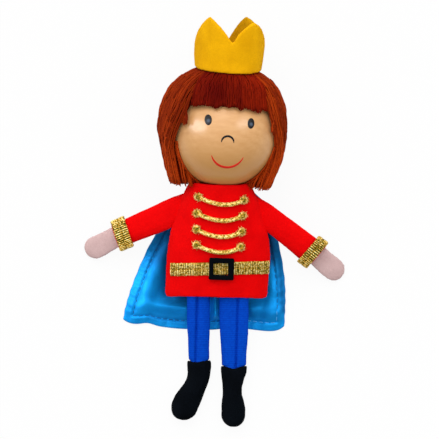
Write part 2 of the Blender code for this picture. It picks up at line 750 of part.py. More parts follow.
def felt_boot(leg, surface, parent):
    """A soft boot: a short shaft that takes the leg, an ankle and a round foot."""
    _, _, ankle = leg_line(leg)
    pocket = (BOOT_SHAFT_WIDTH[leg] / 2 - BOOT_WALL, LEG_DEPTH / 2 + FIT_GAP)
    rings = [
        flat_ring(ankle + DOWN * BOOT_CUFF, DOWN, *pocket),
        flat_ring(ankle, DOWN, *pocket),
        flat_ring(ankle, DOWN, BOOT_SHAFT_WIDTH[leg] / 2, BOOT_DEPTH / 2),
    ]
    toe_start = 1 - BOOT_FOOT_WIDTH[leg] / 2 / BOOT_LENGTH[leg]
    body_stations = 7
    toe_stations = 6
    shares = [toe_start * step / body_stations for step in range(1, body_stations + 1)]
    for step in range(1, toe_stations):
        shares.append(mix(toe_start, 1.0, math.sin(step / toe_stations * math.pi / 2)))
    centre = ankle.copy()
    covered = 0.0
    for share in shares:
        turn = BOOT_TURN[leg] * (smooth_step(0.12, 0.5, share) - 0.5 * smooth_step(0.7, 1.0, share))
        heading = Vector((-math.sin(turn), -math.cos(turn), 0))
        centre = centre + heading * BOOT_LENGTH[leg] * (share - covered)
        covered = share
        waist = smooth_step(0.0, 0.4, share) - smooth_step(0.4, 0.75, share)
        middle = centre + Vector((BOOT_WAIST_SHIFT[leg] * waist, 0, 0))
        toe = max(0.0, (share - toe_start) / (1 - toe_start))
        rounding = math.sqrt(1 - toe**2)
        half_depth = BOOT_DEPTH / 2 * math.sqrt(rounding)
        rings.append(flat_ring(middle, heading, boot_width(leg, share) / 2 * rounding, half_depth))
    return lofted(f"boot_{leg}", rings, surface, parent)


# Cape

CAPE_TOP = COLLAR_CENTRE.y - CAPE_TOP_DROP
UNDERSIDE_MARGIN = 1.5 * MM


def tunic_underside(point):
    """Height of the back panel above a point, or None where the tunic doesn't cover it."""
    down = down_at(point)
    if not -0.1 <= down <= 1.05:
        return None
    down = min(1.0, max(0.0, down))
    offset = (point.x - tunic_middle(down).x) / (tunic_half_width(down) + UNDERSIDE_MARGIN)
    if abs(offset) >= 1:
        return None
    return tunic_point(math.asin(offset) * 2 / math.pi, down, 0.0, -1).z


def satin_cape(surface, parent):
    """A hemmed bell of satin, gathered behind the neck and spread on the floor."""
    neck_half = CAPE_NECK_WIDTH / 2
    hem_half = CAPE_HEM_WIDTH / 2
    neck_x = tunic_middle(0.0).x + CAPE_NECK_SHIFT
    hem_x = neck_x + CAPE_SHIFT
    columns = 24
    rows = 11
    neck_back = tunic_point(0.0, 0.0, 0.0, -1).z - FIT_GAP - SATIN
    column_hem = CAPE_HEM_FOLD / CAPE_HEM_WIDTH
    row_hem = CAPE_HEM_FOLD / CAPE_LENGTH

    def plan(u, v):
        """Where the flat cape lies, seen from above."""
        left = mix(neck_x - neck_half, hem_x - hem_half, 1 - (1 - v) ** CAPE_FLARE["left"])
        right = mix(neck_x + neck_half, hem_x + hem_half, 1 - (1 - v) ** CAPE_FLARE["right"])
        across = 2 * u - 1
        corner = CAPE_CORNER * abs(across) ** 14 * v
        wave = CAPE_WAVE * math.sin(3.5 * math.pi * u + 0.5) * v
        slant = CAPE_SLANT * (0.5 - u) * v
        return mix(left, right, u), CAPE_TOP - CAPE_LENGTH * v + corner + wave + slant

    def place(u, v, w):
        u = spread(u, column_hem)
        v = 1 - spread_end(1 - v, row_hem)
        x, y = plan(u, v)
        across = 2 * u - 1
        neck = neck_back + CAPE_NECK_RISE * across**2
        settle = max(0.0, 1 - v / CAPE_FALL) ** 2
        folds = 0.5 - 0.5 * math.cos(2 * math.pi * CAPE_FOLDS * u)
        open_cloth = smooth_step(0.25, 0.6, abs(across)) * math.sin(math.pi * min(1.0, v + 0.1))
        z = FLOOR + neck * settle + CAPE_FOLD_HEIGHT * folds * open_cloth * (1 - settle)
        hemmed = min(u, 1 - u) < column_hem * 1.01 or v > 1 - row_hem * 1.01
        cloth = SATIN * (CAPE_HEM_LAYERS if hemmed else 1.0)
        ceiling = tunic_underside(Vector((x, y, z)))
        if ceiling is not None:
            z = max(FLOOR, min(z, ceiling - FIT_GAP - cloth))
        return Vector((x, y, z + cloth * w))

    def spread(u, border):
        """Puts the second column on the hem's stitch line, and shares out the rest."""
        first = 1 / columns
        if u <= first:
            return u / first * border
        if u >= 1 - first:
            return 1 - (1 - u) / first * border
        return mix(border, 1 - border, (u - first) / (1 - 2 * first))

    def spread_end(v, border):
        """Puts the row next to the lower edge on the hem's stitch line."""
        first = 1 / rows
        if v <= first:
            return v / first * border
        return mix(border, 1.0, (v - first) / (1 - first))

    return slab("cape", columns, rows, place, surface, parent)


def empty(name, frame, parent=None):
    made = bpy.data.objects.new(name, None)
    bpy.context.scene.collection.objects.link(made)
    made.parent = parent
    made.matrix_world = frame
    return made


def set_down(puppet):
    """Centres the whole puppet over the origin, with its lowest point on the floor."""
    bpy.context.view_layer.update()
    points = []
    for made in bpy.context.scene.objects:
        if made.type == "MESH":
            points += [made.matrix_world @ corner.co for corner in made.data.vertices]
    low = Vector([min(point[axis] for point in points) for axis in range(3)])
    high = Vector([max(point[axis] for point in points) for axis in range(3)])
    middle = (low + high) / 2
    puppet.location = (-middle.x, -middle.y, -low.z)


def main():
    for old in list(bpy.data.objects):
        bpy.data.objects.remove(old)
    wood = material("lacquered_beech", (0.76, 0.47, 0.23), 0.3)
    black_paint = material("black_paint", (0.02, 0.02, 0.025), 0.35)
    red_paint = material("red_paint", (0.75, 0.03, 0.01), 0.35)
    yarn = material("auburn_yarn", (0.23, 0.018, 0.003), 0.9)
    yellow_felt = material("yellow_felt", (0.81, 0.40, 0.004), 0.95)
    red_felt = material("red_felt", (0.80, 0.003, 0.003), 0.95)
    pink_felt = material("pink_felt", (0.64, 0.44, 0.42), 0.95)
    black_felt = material("black_felt", (0.006, 0.009, 0.012), 0.95)
    gold_braid = material("gold_braid", (0.55, 0.38, 0.10), 0.35, 0.8)
    blue_knit = material("blue_knit", (0.002, 0.06, 0.50), 0.9)
    blue_satin = material("blue_satin", (0.004, 0.25, 0.72), 0.35)

    puppet = empty("puppet", Matrix.Identity(4))
    head_frame = empty("head_frame", HEAD_FRAME, puppet)

    wooden_head(wood, head_frame)
    painted_eye("eye_left", -1, black_paint, head_frame)
    painted_eye("eye_right", 1, black_paint, head_frame)
    painted_arc("nose", NOSE_WIDTH, NOSE_HEIGHT, NOSE_DROP, NOSE_SHIFT, 1, black_paint, head_frame)
    painted_arc("smile", SMILE_WIDTH, SMILE_DEPTH, SMILE_DROP, 0.0, -1, red_paint, head_frame)
    yarn_hair(yarn, head_frame)
    felt_crown(yellow_felt, head_frame)

    tunic_panel("tunic_front", 1, red_felt, puppet)
    tunic_panel("tunic_back", -1, red_felt, puppet)
    for number in range(BRAID_COUNT):
        drop = BRAID_FIRST_DROP + number * BRAID_PITCH
        chest_braid(f"chest_braid_{number + 1}", drop, gold_braid, puppet)
    gold_belt(gold_braid, puppet)
    felt_buckle(black_felt, puppet)
    for side in SIDES:
        sleeve(side, red_felt, puppet)
        cuff(side, gold_braid, puppet)
        felt_hand(side, pink_felt, puppet)
        knitted_leg(side, blue_knit, puppet)
        felt_boot(side, black_felt, puppet)
    satin_cape(blue_satin, puppet)
    set_down(puppet)


main()
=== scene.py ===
"""Looks of a prince finger puppet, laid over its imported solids.

Lengths are in metres, in the solids' own frame: +X is to the viewer's right, +Y runs up to the crown
and +Z out of the face. The puppet lies on its back on the floor, and the camera looks down on it.
"""

import random
from math import acos, asin, atan, atan2, copysign, cos, exp, hypot, pi, radians, sin, sqrt, tau

import bmesh
import bpy
from mathutils import Matrix, Vector, noise
from mathutils.bvhtree import BVHTree


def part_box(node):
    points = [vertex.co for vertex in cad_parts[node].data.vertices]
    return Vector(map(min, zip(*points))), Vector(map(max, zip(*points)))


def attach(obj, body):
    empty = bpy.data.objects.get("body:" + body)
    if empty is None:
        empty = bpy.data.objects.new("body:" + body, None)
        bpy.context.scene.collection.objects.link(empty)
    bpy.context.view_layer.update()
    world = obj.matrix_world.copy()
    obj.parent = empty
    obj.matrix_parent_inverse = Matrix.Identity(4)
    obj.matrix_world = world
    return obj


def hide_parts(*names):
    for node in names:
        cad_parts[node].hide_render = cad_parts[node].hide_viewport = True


MM = 0.001
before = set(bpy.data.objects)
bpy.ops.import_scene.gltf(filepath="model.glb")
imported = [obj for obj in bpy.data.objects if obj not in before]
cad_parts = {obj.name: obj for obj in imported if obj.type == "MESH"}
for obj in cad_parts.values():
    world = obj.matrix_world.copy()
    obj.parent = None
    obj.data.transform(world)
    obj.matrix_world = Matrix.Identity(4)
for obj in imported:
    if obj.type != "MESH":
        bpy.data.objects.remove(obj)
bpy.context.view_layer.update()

# The ball head as part.py sets it down: the centre, and the way it tips, leans and turns
HEAD_CENTRE = Vector((3.315, 33.314, 22.914)) * MM
HEAD_RADIUS = 20 * MM
HEAD_FRAME = (
    Matrix.Translation(HEAD_CENTRE)
    @ Matrix.Rotation(radians(-4), 4, "Z")
    @ Matrix.Rotation(radians(9), 4, "X")
    @ Matrix.Rotation(radians(6.5), 4, "Y")
)

# Camera, straight above, far off, so that the photo's pixels lie on a level grid
IMAGE_SIDE = 439
PIXEL = 0.366 * MM
HEAD_PIXEL = (223.5, 132)
CAMERA_DISTANCE = 1500 * MM
CAMERA_PLACE = HEAD_CENTRE + Vector(
    (
        (IMAGE_SIDE / 2 - HEAD_PIXEL[0]) * PIXEL,
        (HEAD_PIXEL[1] - IMAGE_SIDE / 2) * PIXEL,
        CAMERA_DISTANCE,
    )
)


def seen(across, down, height=10 * MM):
    """The point at that height that the photo shows at the pixel across and down."""
    scale = PIXEL * (CAMERA_PLACE.z - height) / CAMERA_DISTANCE
    x = CAMERA_PLACE.x + (across - IMAGE_SIDE / 2) * scale
    return Vector((x, CAMERA_PLACE.y + (IMAGE_SIDE / 2 - down) * scale, height))


def mix(start, end, share):
    return start + (end - start) * share


def ease(low, high, value):
    """Goes smoothly from 0 at low to 1 at high."""
    share = min(1.0, max(0.0, (value - low) / (high - low)))
    return share * share * (3 - 2 * share)


def bump_at(value, centre, width):
    """A smooth hump, 1 at the centre and gone past a few widths."""
    return exp(-(((value - centre) / width) ** 2))


# Colours and materials

# A wave texture of scale 1 repeats at this length
WAVE = pi / 10


def linear(hex_colour):
    """An sRGB hex colour as linear red, green, blue and alpha."""
    parts = [int(hex_colour[i : i + 2], 16) / 255 for i in (1, 3, 5)]
    return (*[c / 12.92 if c <= 0.04045 else ((c + 0.055) / 1.055) ** 2.4 for c in parts], 1.0)


def add(tree, kind, inputs=(), out=None, to=None, **settings):
    """Adds a shader node with its settings and links, and gives the output named, or its first.

    An input is a value, a hex colour, or the output that feeds it. To is an input that it feeds."""
    node = tree.nodes.new("ShaderNode" + kind)
    for name, value in settings.items():
        setattr(node, name, value)
    for socket, value in dict(inputs).items():
        if isinstance(value, bpy.types.NodeSocket):
            tree.links.new(value, node.inputs[socket])
        else:
            node.inputs[socket].default_value = linear(value) if isinstance(value, str) else value
    made = node.outputs[out] if out else next(socket for socket in node.outputs if socket.enabled)
    if to:
        tree.links.new(made, to)
    return made


def surface(name, **settings):
    """A new Principled material with its plain values set, its tree and its shader's inputs."""
    made = bpy.data.materials.new(name)
    made.use_nodes = True
    shader = made.node_tree.nodes["Principled BSDF"]
    for socket, value in settings.items():
        shader.inputs[socket.replace("_", " ")].default_value = value
    return made, made.node_tree, shader.inputs


def felt(name, light, dark, painted_shading=None):
    """Pressed wool felt: matt, mottled where fibres cross, with a fuzz that glows in its own colour.

    Two heights may be given: from the upper down to the lower the colour darkens, as painted shade on the
    inside of the crown's back."""
    made, tree, sockets = surface(
        name,
        Roughness=0.95,
        Specular_IOR_Level=0.04,
        Sheen_Weight=0.08,
        Sheen_Roughness=0.5,
        Sheen_Tint=linear(light),
    )
    place = add(tree, "TexCoord", out="Object")
    fibres = add(
        tree,
        "TexNoise",
        {"Vector": place, "Scale": 1 / (0.9 * MM), "Detail": 5.0, "Roughness": 0.65, "Distortion": 1.8},
    )
    patches = add(tree, "TexNoise", {"Vector": place, "Scale": 1 / (7 * MM), "Detail": 2.0})
    both = add(tree, "Math", {0: fibres, 1: patches}, operation="MULTIPLY")
    spread = add(tree, "MapRange", {"Value": both, "From Min": 0.1, "From Max": 0.42})
    colour = add(tree, "Mix", {0: spread, 6: dark, 7: light}, data_type="RGBA")
    if painted_shading:
        # Painted shade: the colour darkens below the given heights.
        height = add(tree, "SeparateXYZ", {0: place}, out="Z")
        full = add(tree, "MapRange", {"Value": height, "From Min": painted_shading[0], "From Max": painted_shading[1]})
        painted_shade = add(tree, "MapRange", {"Value": full, "To Min": 0.62, "To Max": 1.0})
        colour = add(tree, "VectorMath", {0: colour, 1: painted_shade}, operation="MULTIPLY")
    tree.links.new(colour, sockets["Base Color"])
    add(tree, "Bump", {"Height": fibres, "Strength": 0.7, "Distance": 0.16 * MM}, to=sockets["Normal"])
    return made


def yarn(name, light, dark):
    """Brushed acrylic yarn: strands of several shades, darker where the shade attribute is low, which
    carries painted shade and painted light.
    """
    made, tree, sockets = surface(name, Roughness=0.85, Specular_IOR_Level=0.03)
    strand = add(tree, "NewGeometry", out="Random Per Island")
    place = add(tree, "TexCoord", out="Object")
    shade = add(tree, "Attribute", out="Fac", attribute_name="shade")
    weave = {"Vector": place, "Scale": 1 / (0.9 * MM), "Detail": 4.0, "Distortion": 1.0}
    fibres = add(tree, "TexNoise", weave)
    mottle = add(tree, "Math", {0: strand, 1: fibres}, operation="ADD")
    spread = add(tree, "MapRange", {"Value": mottle, "From Min": 0.2, "From Max": 1.5})
    lit = add(tree, "Math", {0: spread, 1: shade}, operation="MULTIPLY")
    add(tree, "Mix", {0: lit, 6: dark, 7: light}, to=sockets["Base Color"], data_type="RGBA")
    add(tree, "Bump", {"Height": fibres, "Strength": 0.6, "Distance": 0.12 * MM}, to=sockets["Normal"])
    return made


def lurex(name):
    """Metallised thread with pale gold flecks; the shade attribute makes it olive as painted shade between
    and under the threads, and pale as painted light where it faces out.
    """
    made, tree, sockets = surface(name, Metallic=0.3, Roughness=0.45, Specular_IOR_Level=0.1)
    place = add(tree, "TexCoord", out="Object")
    thread = add(tree, "NewGeometry", out="Random Per Island")
    shade = add(tree, "Attribute", out="Fac", attribute_name="shade")
    glitter = {"Vector": place, "Scale": 1 / (0.75 * MM), "Detail": 3.0, "Roughness": 0.8}
    flecks = add(tree, "TexNoise", glitter)
    spotted = add(tree, "MapRange", {"Value": flecks, "From Min": 0.4, "From Max": 0.61})
    tint = add(tree, "Math", {0: thread, 1: 0.3, 2: spotted}, operation="MULTIPLY_ADD")
    level = add(tree, "Math", {0: tint, 1: shade}, operation="MULTIPLY")
    ramp = add(tree, "ValToRGB", {"Fac": level}, to=sockets["Base Color"])
    stops = ramp.node.color_ramp.elements
    stops[0].position, stops[0].color = 0.12, linear("#474c0c")
    stops[1].position, stops[1].color = 0.92, linear("#fff2a8")
    for position, colour in ((0.28, "#85801c"), (0.48, "#dc9a30"), (0.7, "#f4cc58")):
        stops.new(position).color = linear(colour)
    add(tree, "Bump", {"Height": flecks, "Strength": 0.6, "Distance": 0.12 * MM}, to=sockets["Normal"])
    return made


def satin(name):
    """Polyester satin that shines in its own blue, finely crushed.

    Where the shade attribute is low the colour darkens to navy: painted shade."""
    made, tree, sockets = surface(name, Metallic=0.35, Roughness=0.52, Specular_IOR_Level=0.05)
    place = add(tree, "TexCoord", out="Object")
    patches = add(tree, "TexNoise", {"Vector": place, "Scale": 1 / (9 * MM), "Detail": 3.0})
    spread = add(tree, "MapRange", {"Value": patches, "From Min": 0.3, "From Max": 0.7})
    colour = add(tree, "Mix", {0: spread, 6: "#0c88d8", 7: "#129eef"}, data_type="RGBA")
    shade = add(tree, "Attribute", out="Fac", attribute_name="shade")
    # Painted shade: navy where the shade attribute is low.
    painted_shade_mix = {0: shade, 6: "#0a3c74", 7: colour}
    add(tree, "Mix", painted_shade_mix, to=sockets["Base Color"], data_type="RGBA")
    wrinkles = {"Vector": place, "Scale": 1 / (1.6 * MM), "Detail": 3.0, "Roughness": 0.6}
    crush = add(tree, "TexNoise", wrinkles)
    add(tree, "Bump", {"Height": crush, "Strength": 0.4, "Distance": 0.2 * MM}, to=sockets["Normal"])
    return made


def knit(name, light, dark):
    """Cotton jersey: fine courses across the leg, drawn at 0.8 mm, twice the real ones, to show."""
    made, tree, sockets = surface(name, Roughness=0.95, Specular_IOR_Level=0.03)
    place = add(tree, "TexCoord", out="Object")
    rows = {"Vector": place, "Scale": WAVE / (0.8 * MM), "Distortion": 0.8, "Detail Scale": 4.0}
    courses = add(tree, "TexWave", rows, out="Fac", bands_direction="Y")
    fibres = add(tree, "TexNoise", {"Vector": place, "Scale": 1 / (0.8 * MM), "Detail": 4.0})
    both = add(tree, "Math", {0: courses, 1: 0.3, 2: fibres}, operation="MULTIPLY_ADD")
    spread = add(tree, "MapRange", {"Value": both, "From Min": 0.35, "From Max": 1.1})
    add(tree, "Mix", {0: spread, 6: dark, 7: light}, to=sockets["Base Color"], data_type="RGBA")
    add(tree, "Bump", {"Height": both, "Strength": 0.4, "Distance": 0.12 * MM}, to=sockets["Normal"])
    return made


def lacquered_beech(name):
    """Turned beech under clear lacquer: soft rings, short flecks, a broad gloss, and browner painted shade
    on the ball's lower part.
    """
    made, tree, sockets = surface(
        name, Roughness=0.6, Specular_IOR_Level=0.1, Coat_Weight=0.6, Coat_Roughness=0.24
    )
    place = add(tree, "TexCoord", out="Object")
    pith = -HEAD_CENTRE + Vector((9, 31, 0)) * MM
    turned = add(tree, "Mapping", {"Vector": place, "Location": pith})
    years = {"Vector": turned, "Scale": WAVE / (2.8 * MM), "Distortion": 2.5, "Detail Scale": 0.3}
    rings = add(tree, "TexWave", years, out="Fac", wave_type="RINGS", rings_direction="Z")
    grain = add(tree, "Mapping", {"Vector": turned, "Scale": (0.3, 1.0, 1.0)})
    rays = {"Vector": grain, "Scale": 1 / (1.6 * MM), "Detail": 4.0, "Roughness": 0.6}
    flecks = add(tree, "TexNoise", rays)
    both = add(tree, "Math", {0: rings, 1: 0.12, 2: flecks}, operation="MULTIPLY_ADD")
    spread = add(tree, "MapRange", {"Value": both, "From Min": 0.3, "From Max": 0.85})
    colour = add(tree, "Mix", {0: spread, 6: "#d9a065", 7: "#e6b279"}, data_type="RGBA")
    # Painted shade: browner and darker below the ball's middle.
    lit_above_share = add(
        tree,
        "MapRange",
        {
            "Value": add(tree, "SeparateXYZ", {0: place}, out="Y"),
            "From Min": HEAD_CENTRE.y - 15 * MM,
            "From Max": HEAD_CENTRE.y - 1 * MM,
        },
        interpolation_type="SMOOTHSTEP",
    )
    lower_painted_shade = {0: lit_above_share, 6: "#cd9452", 7: colour}
    add(tree, "Mix", lower_painted_shade, to=sockets["Base Color"], data_type="RGBA")
    return made


def paint(name, rim, middle):
    """Enamel from a fine brush, with a wet gloss. The shade attribute runs from rim to middle."""
    made, tree, sockets = surface(name, Roughness=0.4, Specular_IOR_Level=0.2)
    shade = add(tree, "Attribute", out="Fac", attribute_name="shade")
    add(tree, "Mix", {0: shade, 6: rim, 7: middle}, to=sockets["Base Color"], data_type="RGBA")
    return made


# Making pieces


def placed(name, data):
    """A new object in the scene."""
    made = bpy.data.objects.new(name, data)
    bpy.context.scene.collection.objects.link(made)
    return made


def mesh_of(name, bm):
    """A bmesh as a mesh. The bmesh goes."""
    mesh = bpy.data.meshes.new(name)
    bm.to_mesh(mesh)
    bm.free()
    return mesh


def piece_of(name, bm, finish):
    """Turns a bmesh into a smooth piece with its faces out."""
    bmesh.ops.recalc_face_normals(bm, faces=bm.faces)
    mesh = mesh_of(name, bm)
    mesh.shade_smooth()
    mesh.materials.append(finish)
    return placed(name, mesh)


def dress(name, bm, finish, slot, *stands_for):
    """Puts a bmesh on the puppet as a finished piece, in place of the solids it stands for."""
    piece = piece_of(name, bm, finish)
    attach(piece, "root")
    if stands_for:
        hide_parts(*stands_for)
    return piece


def evaluated_bmesh(made):
    """What an object looks like with its modifiers, as a bmesh. The object goes."""
    bpy.context.view_layer.update()
    graph = bpy.context.evaluated_depsgraph_get()
    mesh = bpy.data.meshes.new_from_object(made.evaluated_get(graph))
    bpy.data.objects.remove(made)
    bm = bmesh.new()
    bm.from_mesh(mesh)
    bpy.data.meshes.remove(mesh)
    return bm


def solid_copy(node):
    """A solid's shape as a bmesh, its triangles joined."""
    bm = bmesh.new()
    bm.from_mesh(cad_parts[node].data)
    bmesh.ops.remove_doubles(bm, verts=bm.verts, dist=0.002 * MM)
    return bm


def soft_copy(node, voxel, relax):
    """A solid's shape as soft cloth: meshed again in small squares, with its cut edges rounded."""
    made = placed("copy_" + node, mesh_of(node, solid_copy(node)))
    remesh = made.modifiers.new("Remesh", "REMESH")
    remesh.mode = "VOXEL"
    remesh.voxel_size = voxel
    smooth = made.modifiers.new("Smooth", "SMOOTH")
    smooth.iterations = relax
    smooth.factor = 0.5
    return evaluated_bmesh(made)


def moved_out(bm, distance):
    """Moves each point of a mesh along its normal, by the distance worked out from its place."""
    bm.normal_update()
    moves = [corner.normal * distance(corner.co) for corner in bm.verts]
    for corner, move in zip(bm.verts, moves):
        corner.co += move
    return bm


COARSE = 1.0


def felt_piece(name, node, finish, slot, voxel=0.4 * MM, relax=4, swell=0.05 * MM, reshape=None):
    """A felt piece in the shape of its solid, a little swollen and uneven as pressed wool is.

    Reshape moves single points of it."""
    bm = soft_copy(node, voxel * COARSE, relax)
    if reshape:
        for corner in bm.verts:
            corner.co = reshape(corner.co)

    def uneven(point):
        broad = noise.noise(point / (3.5 * MM)) * (0.1 * MM)
        return swell + broad + noise.noise(point / (0.9 * MM)) * (0.05 * MM)

    return dress(name, moved_out(bm, uneven), finish, slot, node)


def threads(lines, width, sides=6, taper=1.0, shades=None):
    """Round threads along lines of points, as one bmesh, with a shade at each point."""
    data = bpy.data.curves.new("threads", "CURVE")
    data.dimensions = "3D"
    data.bevel_depth = width / 2
    data.bevel_resolution = (sides - 4) // 2
    for line in lines:
        spline = data.splines.new("POLY")
        spline.points.add(len(line) - 1)
        for index, (point, place) in enumerate(zip(spline.points, line)):
            point.co = (*place, 1.0)
            point.radius = taper if index in (0, len(line) - 1) else 1.0
    bm = evaluated_bmesh(placed("threads", data))
    layer = bm.verts.layers.float.new("shade")
    every = shades or [1.0] * sum(len(line) for line in lines)
    for corner in bm.verts:
        corner[layer] = every[corner.index // sides]
    bmesh.ops.holes_fill(bm, edges=bm.edges, sides=sides)
    return bm


def slab(columns, rows, place):
    """A closed sheet as a bmesh: a grid in u and v, raised in w, laid out by place."""
    bm = bmesh.new()
    bmesh.ops.create_grid(bm, x_segments=columns, y_segments=rows, size=0.5)
    raised = bmesh.ops.extrude_face_region(bm, geom=bm.faces[:])["geom"]
    corners = [item for item in raised if isinstance(item, bmesh.types.BMVert)]
    bmesh.ops.translate(bm, verts=corners, vec=(0, 0, 1))
    for corner in bm.verts:
        corner.co = place(corner.co.x + 0.5, corner.co.y + 0.5, corner.co.z)
    return bm


def shaded(bm, shade):
    """Gives each point its shade: one number, or worked out from where the point is."""
    layer = bm.verts.layers.float.get("shade") or bm.verts.layers.float.new("shade")
    for corner in bm.verts:
        corner[layer] = shade(corner.co) if callable(shade) else shade
    return bm


def joined(*meshes):
    """Several bmeshes as one. The others go."""
    first = meshes[0]
    for other in meshes[1:]:
        mesh = mesh_of("joined", other)
        first.from_mesh(mesh)
        bpy.data.meshes.remove(mesh)
    return first


def tree_of(*pieces):
    """What rays can hit: the pieces' faces, in the solids' frame."""
    bm = bmesh.new()
    for piece in pieces:
        bm.from_mesh(piece.data)
    made = BVHTree.FromBMesh(bm)
    bm.free()
    return made


def top_of(tree, x, y, middle=1.5 * MM):
    """The highest point of what the tree holds under a point of the plan, and the normal there.

    Past the side of it, the answer is the nearest point towards the middle."""
    for _ in range(60):
        place, normal, _, _ = tree.ray_cast(Vector((x, y, 100 * MM)), Vector((0, 0, -1)))
        if place is not None:
            return place, normal
        x += copysign(0.1 * MM, middle - x)
    return Vector((x, y, 10 * MM)), Vector((0, 0, 1))


# Head, face and hair


def turned_head():
    """The ball with its finger hole, spun on the lathe in fine steps."""
    bore, rim, depth = 7.5 * MM, 8.1 * MM, 17 * MM
    rim_angle = pi - asin(rim / HEAD_RADIUS)
    steps = 80
    turns = [rim_angle * step / steps for step in range(steps + 1)]
    profile = [(HEAD_RADIUS * sin(turn), HEAD_RADIUS * cos(turn)) for turn in turns]
    mouth = -sqrt(HEAD_RADIUS**2 - rim**2)
    lip = rim - bore
    for share in (0.35, 0.7, 1.0):
        turn = share * pi / 2
        profile.append((rim - lip * sin(turn), mouth + lip * (1 - cos(turn))))
    eighths = [step / 8 for step in range(1, 9)]
    profile += [(bore, mouth + mix(lip, depth - bore / 2, share)) for share in eighths]
    for share in eighths:
        turn = share * pi / 2
        profile.append((bore * cos(turn), mouth + depth - bore / 2 + bore / 2 * sin(turn)))
    bm = bmesh.new()
    corners = [bm.verts.new((radius, height, 0.0)) for radius, height in profile]
    edges = [bm.edges.new(pair) for pair in zip(corners, corners[1:])]
    whole_turn = {"cent": (0, 0, 0), "axis": (0, 1, 0), "angle": tau, "use_merge": True}
    bmesh.ops.spin(bm, geom=corners + edges, steps=128, **whole_turn)
    bmesh.ops.remove_doubles(bm, verts=bm.verts, dist=0.001 * MM)
    bm.transform(HEAD_FRAME)
    return bm


def on_ball(across, height, lift):
    """The point of the ball's face that far across and up, raised by lift."""
    depth = sqrt(HEAD_RADIUS**2 - across**2 - height**2)
    return HEAD_FRAME @ (Vector((across, height, depth)) * (1 + lift / HEAD_RADIUS))


PAINT = 0.12 * MM


def on_disc(u, v):
    """A square's point carried over to a disc of radius 1."""
    x, y = 2 * u - 1, 2 * v - 1
    return x * sqrt(1 - y * y / 2), y * sqrt(1 - x * x / 2)


def painted_eye(side, drop):
    """An upright oval of paint with a slate middle, a painted reflection, in a black rim."""
    centre = Vector((side * 7.8 * MM, 6.5 * MM - drop))

    def place(u, v, w):
        x, y = on_disc(u, v)
        dome = 0.25 + 0.75 * sqrt(max(0.0, 1 - min(1.0, x * x + y * y)))
        lift = (dome if w else -0.5) * PAINT
        return on_ball(centre.x + 1.28 * MM * x, centre.y + 1.85 * MM * y, lift)

    middle = on_ball(centre.x + 0.1 * MM, centre.y - 0.3 * MM, PAINT)
    oval = slab(24, 24, place)
    return shaded(oval, lambda point: ease(0.95 * MM, 0.2 * MM, (point - middle).length))


def painted_arc(width, depth, drop, shift, way, brush):
    """A brush stroke along an arc, bowed up or down, thin at its ends."""
    radius = (width**2 / 4 + depth**2) / (2 * depth)
    half_angle = atan2(width / 2, radius - depth)
    centre = -drop + way * (depth - radius)

    def place(u, v, w):
        along = 2 * u - 1
        stroke = brush * (1 - 0.75 * abs(along) ** 3)
        reach = radius + stroke * (v - 0.5)
        angle = half_angle * along
        lift = (PAINT * sin(pi * mix(0.1, 0.9, v))) if w else -PAINT / 2
        height = centre + way * reach * cos(angle)
        return on_ball(shift + reach * sin(angle), height, lift)

    return shaded(slab(60, 4, place), 0.0)


# Hair outline in the head's own frame, as the solids have it
HAIR_RADIUS = HEAD_RADIUS + 3.2 * MM
HAIR_TOP = HEAD_RADIUS + 5.0 * MM
HAIR_DROP = 20 * MM
HAIR_DROOP = 5.6 * MM
HAIR_EQUATOR = 0.6
HAIR_ROUNDNESS = 2.4
FRINGE_RISE = 12.2 * MM
FRINGE_ANGLE = radians(47)
TEMPLE_ANGLE = radians(66)
STRAND = 0.5 * MM
STRAND_STEP = 0.88 * STRAND
CRINKLE = 6.5 * MM
HAIR_START = 0.115
HAIR_RUN = 56 * MM
FRINGE_TUCK = 2.9 * MM
FLOOR_GAP = 0.4 * MM
# Bunches that hang loose: the photo's pixels down each, its strands, width, height off the wood, seed
TUFTS = [
    ([(182.5, 101.0), (183.6, 113.0), (185.0, 126.5)], 24, 2.9 * MM, 2.2 * MM, 3),
    ([(275.0, 112.0), (273.6, 125.0), (271.3, 136.5)], 8, 1.6 * MM, 2.0 * MM, 4),
    ([(272.0, 170.0), (268.8, 180.0), (265.6, 190.5)], 12, 1.3 * MM, 2.0 * MM, 6),
]


def hair_outline(share):
    """Outer radius and height of the hair, from the top of the head at 0 to the ends at 1."""
    if share <= HAIR_EQUATOR:
        angle = share / HAIR_EQUATOR * pi / 2
        radius = HAIR_RADIUS * sin(angle) ** (2 / HAIR_ROUNDNESS)
        return radius, HAIR_TOP * max(0.0, cos(angle)) ** (2 / HAIR_ROUNDNESS)
    fall = (share - HAIR_EQUATOR) / (1 - HAIR_EQUATOR)
    return HAIR_RADIUS - HAIR_DROOP * fall**1.2, -HAIR_DROP * fall


def share_at_height(height):
    cosine = (height / HAIR_TOP) ** (HAIR_ROUNDNESS / 2)
    return HAIR_EQUATOR * acos(cosine) / (pi / 2)


FRINGE_SHARE = share_at_height(FRINGE_RISE)


def temple(share):
    """Angle from the front at which the side hair starts."""
    return mix(FRINGE_ANGLE, TEMPLE_ANGLE, ease(FRINGE_SHARE, 0.75, share))


def fullness(share, angle):
    """How far the yarn puffs out past its cut shape: on the left side, and at the right's ends."""
    side = sin(angle)
    left = 0.9 * MM * ease(0.2, 0.8, -side) * ease(0.2, 0.45, share)
    right = 0.9 * MM * ease(0.3, 0.8, side) * ease(0.55, 0.85, share)
    return left + right


def hair_point(share, angle, sunk):
    """A point that far under the hair's outline, which the floor presses flat at the back."""
    radius, height = hair_outline(share)
    sunk -= fullness(share, angle)
    length = hypot(radius, height)
    if share <= HAIR_EQUATOR:
        scale = 1 - sunk / length
        radius, height = radius * scale, height * scale
    else:
        radius -= sunk
    point = HEAD_FRAME @ Vector((radius * sin(angle), height, radius * cos(angle)))
    point.z = max(point.z, FLOOR_GAP + 0.5 * sunk)
    return point


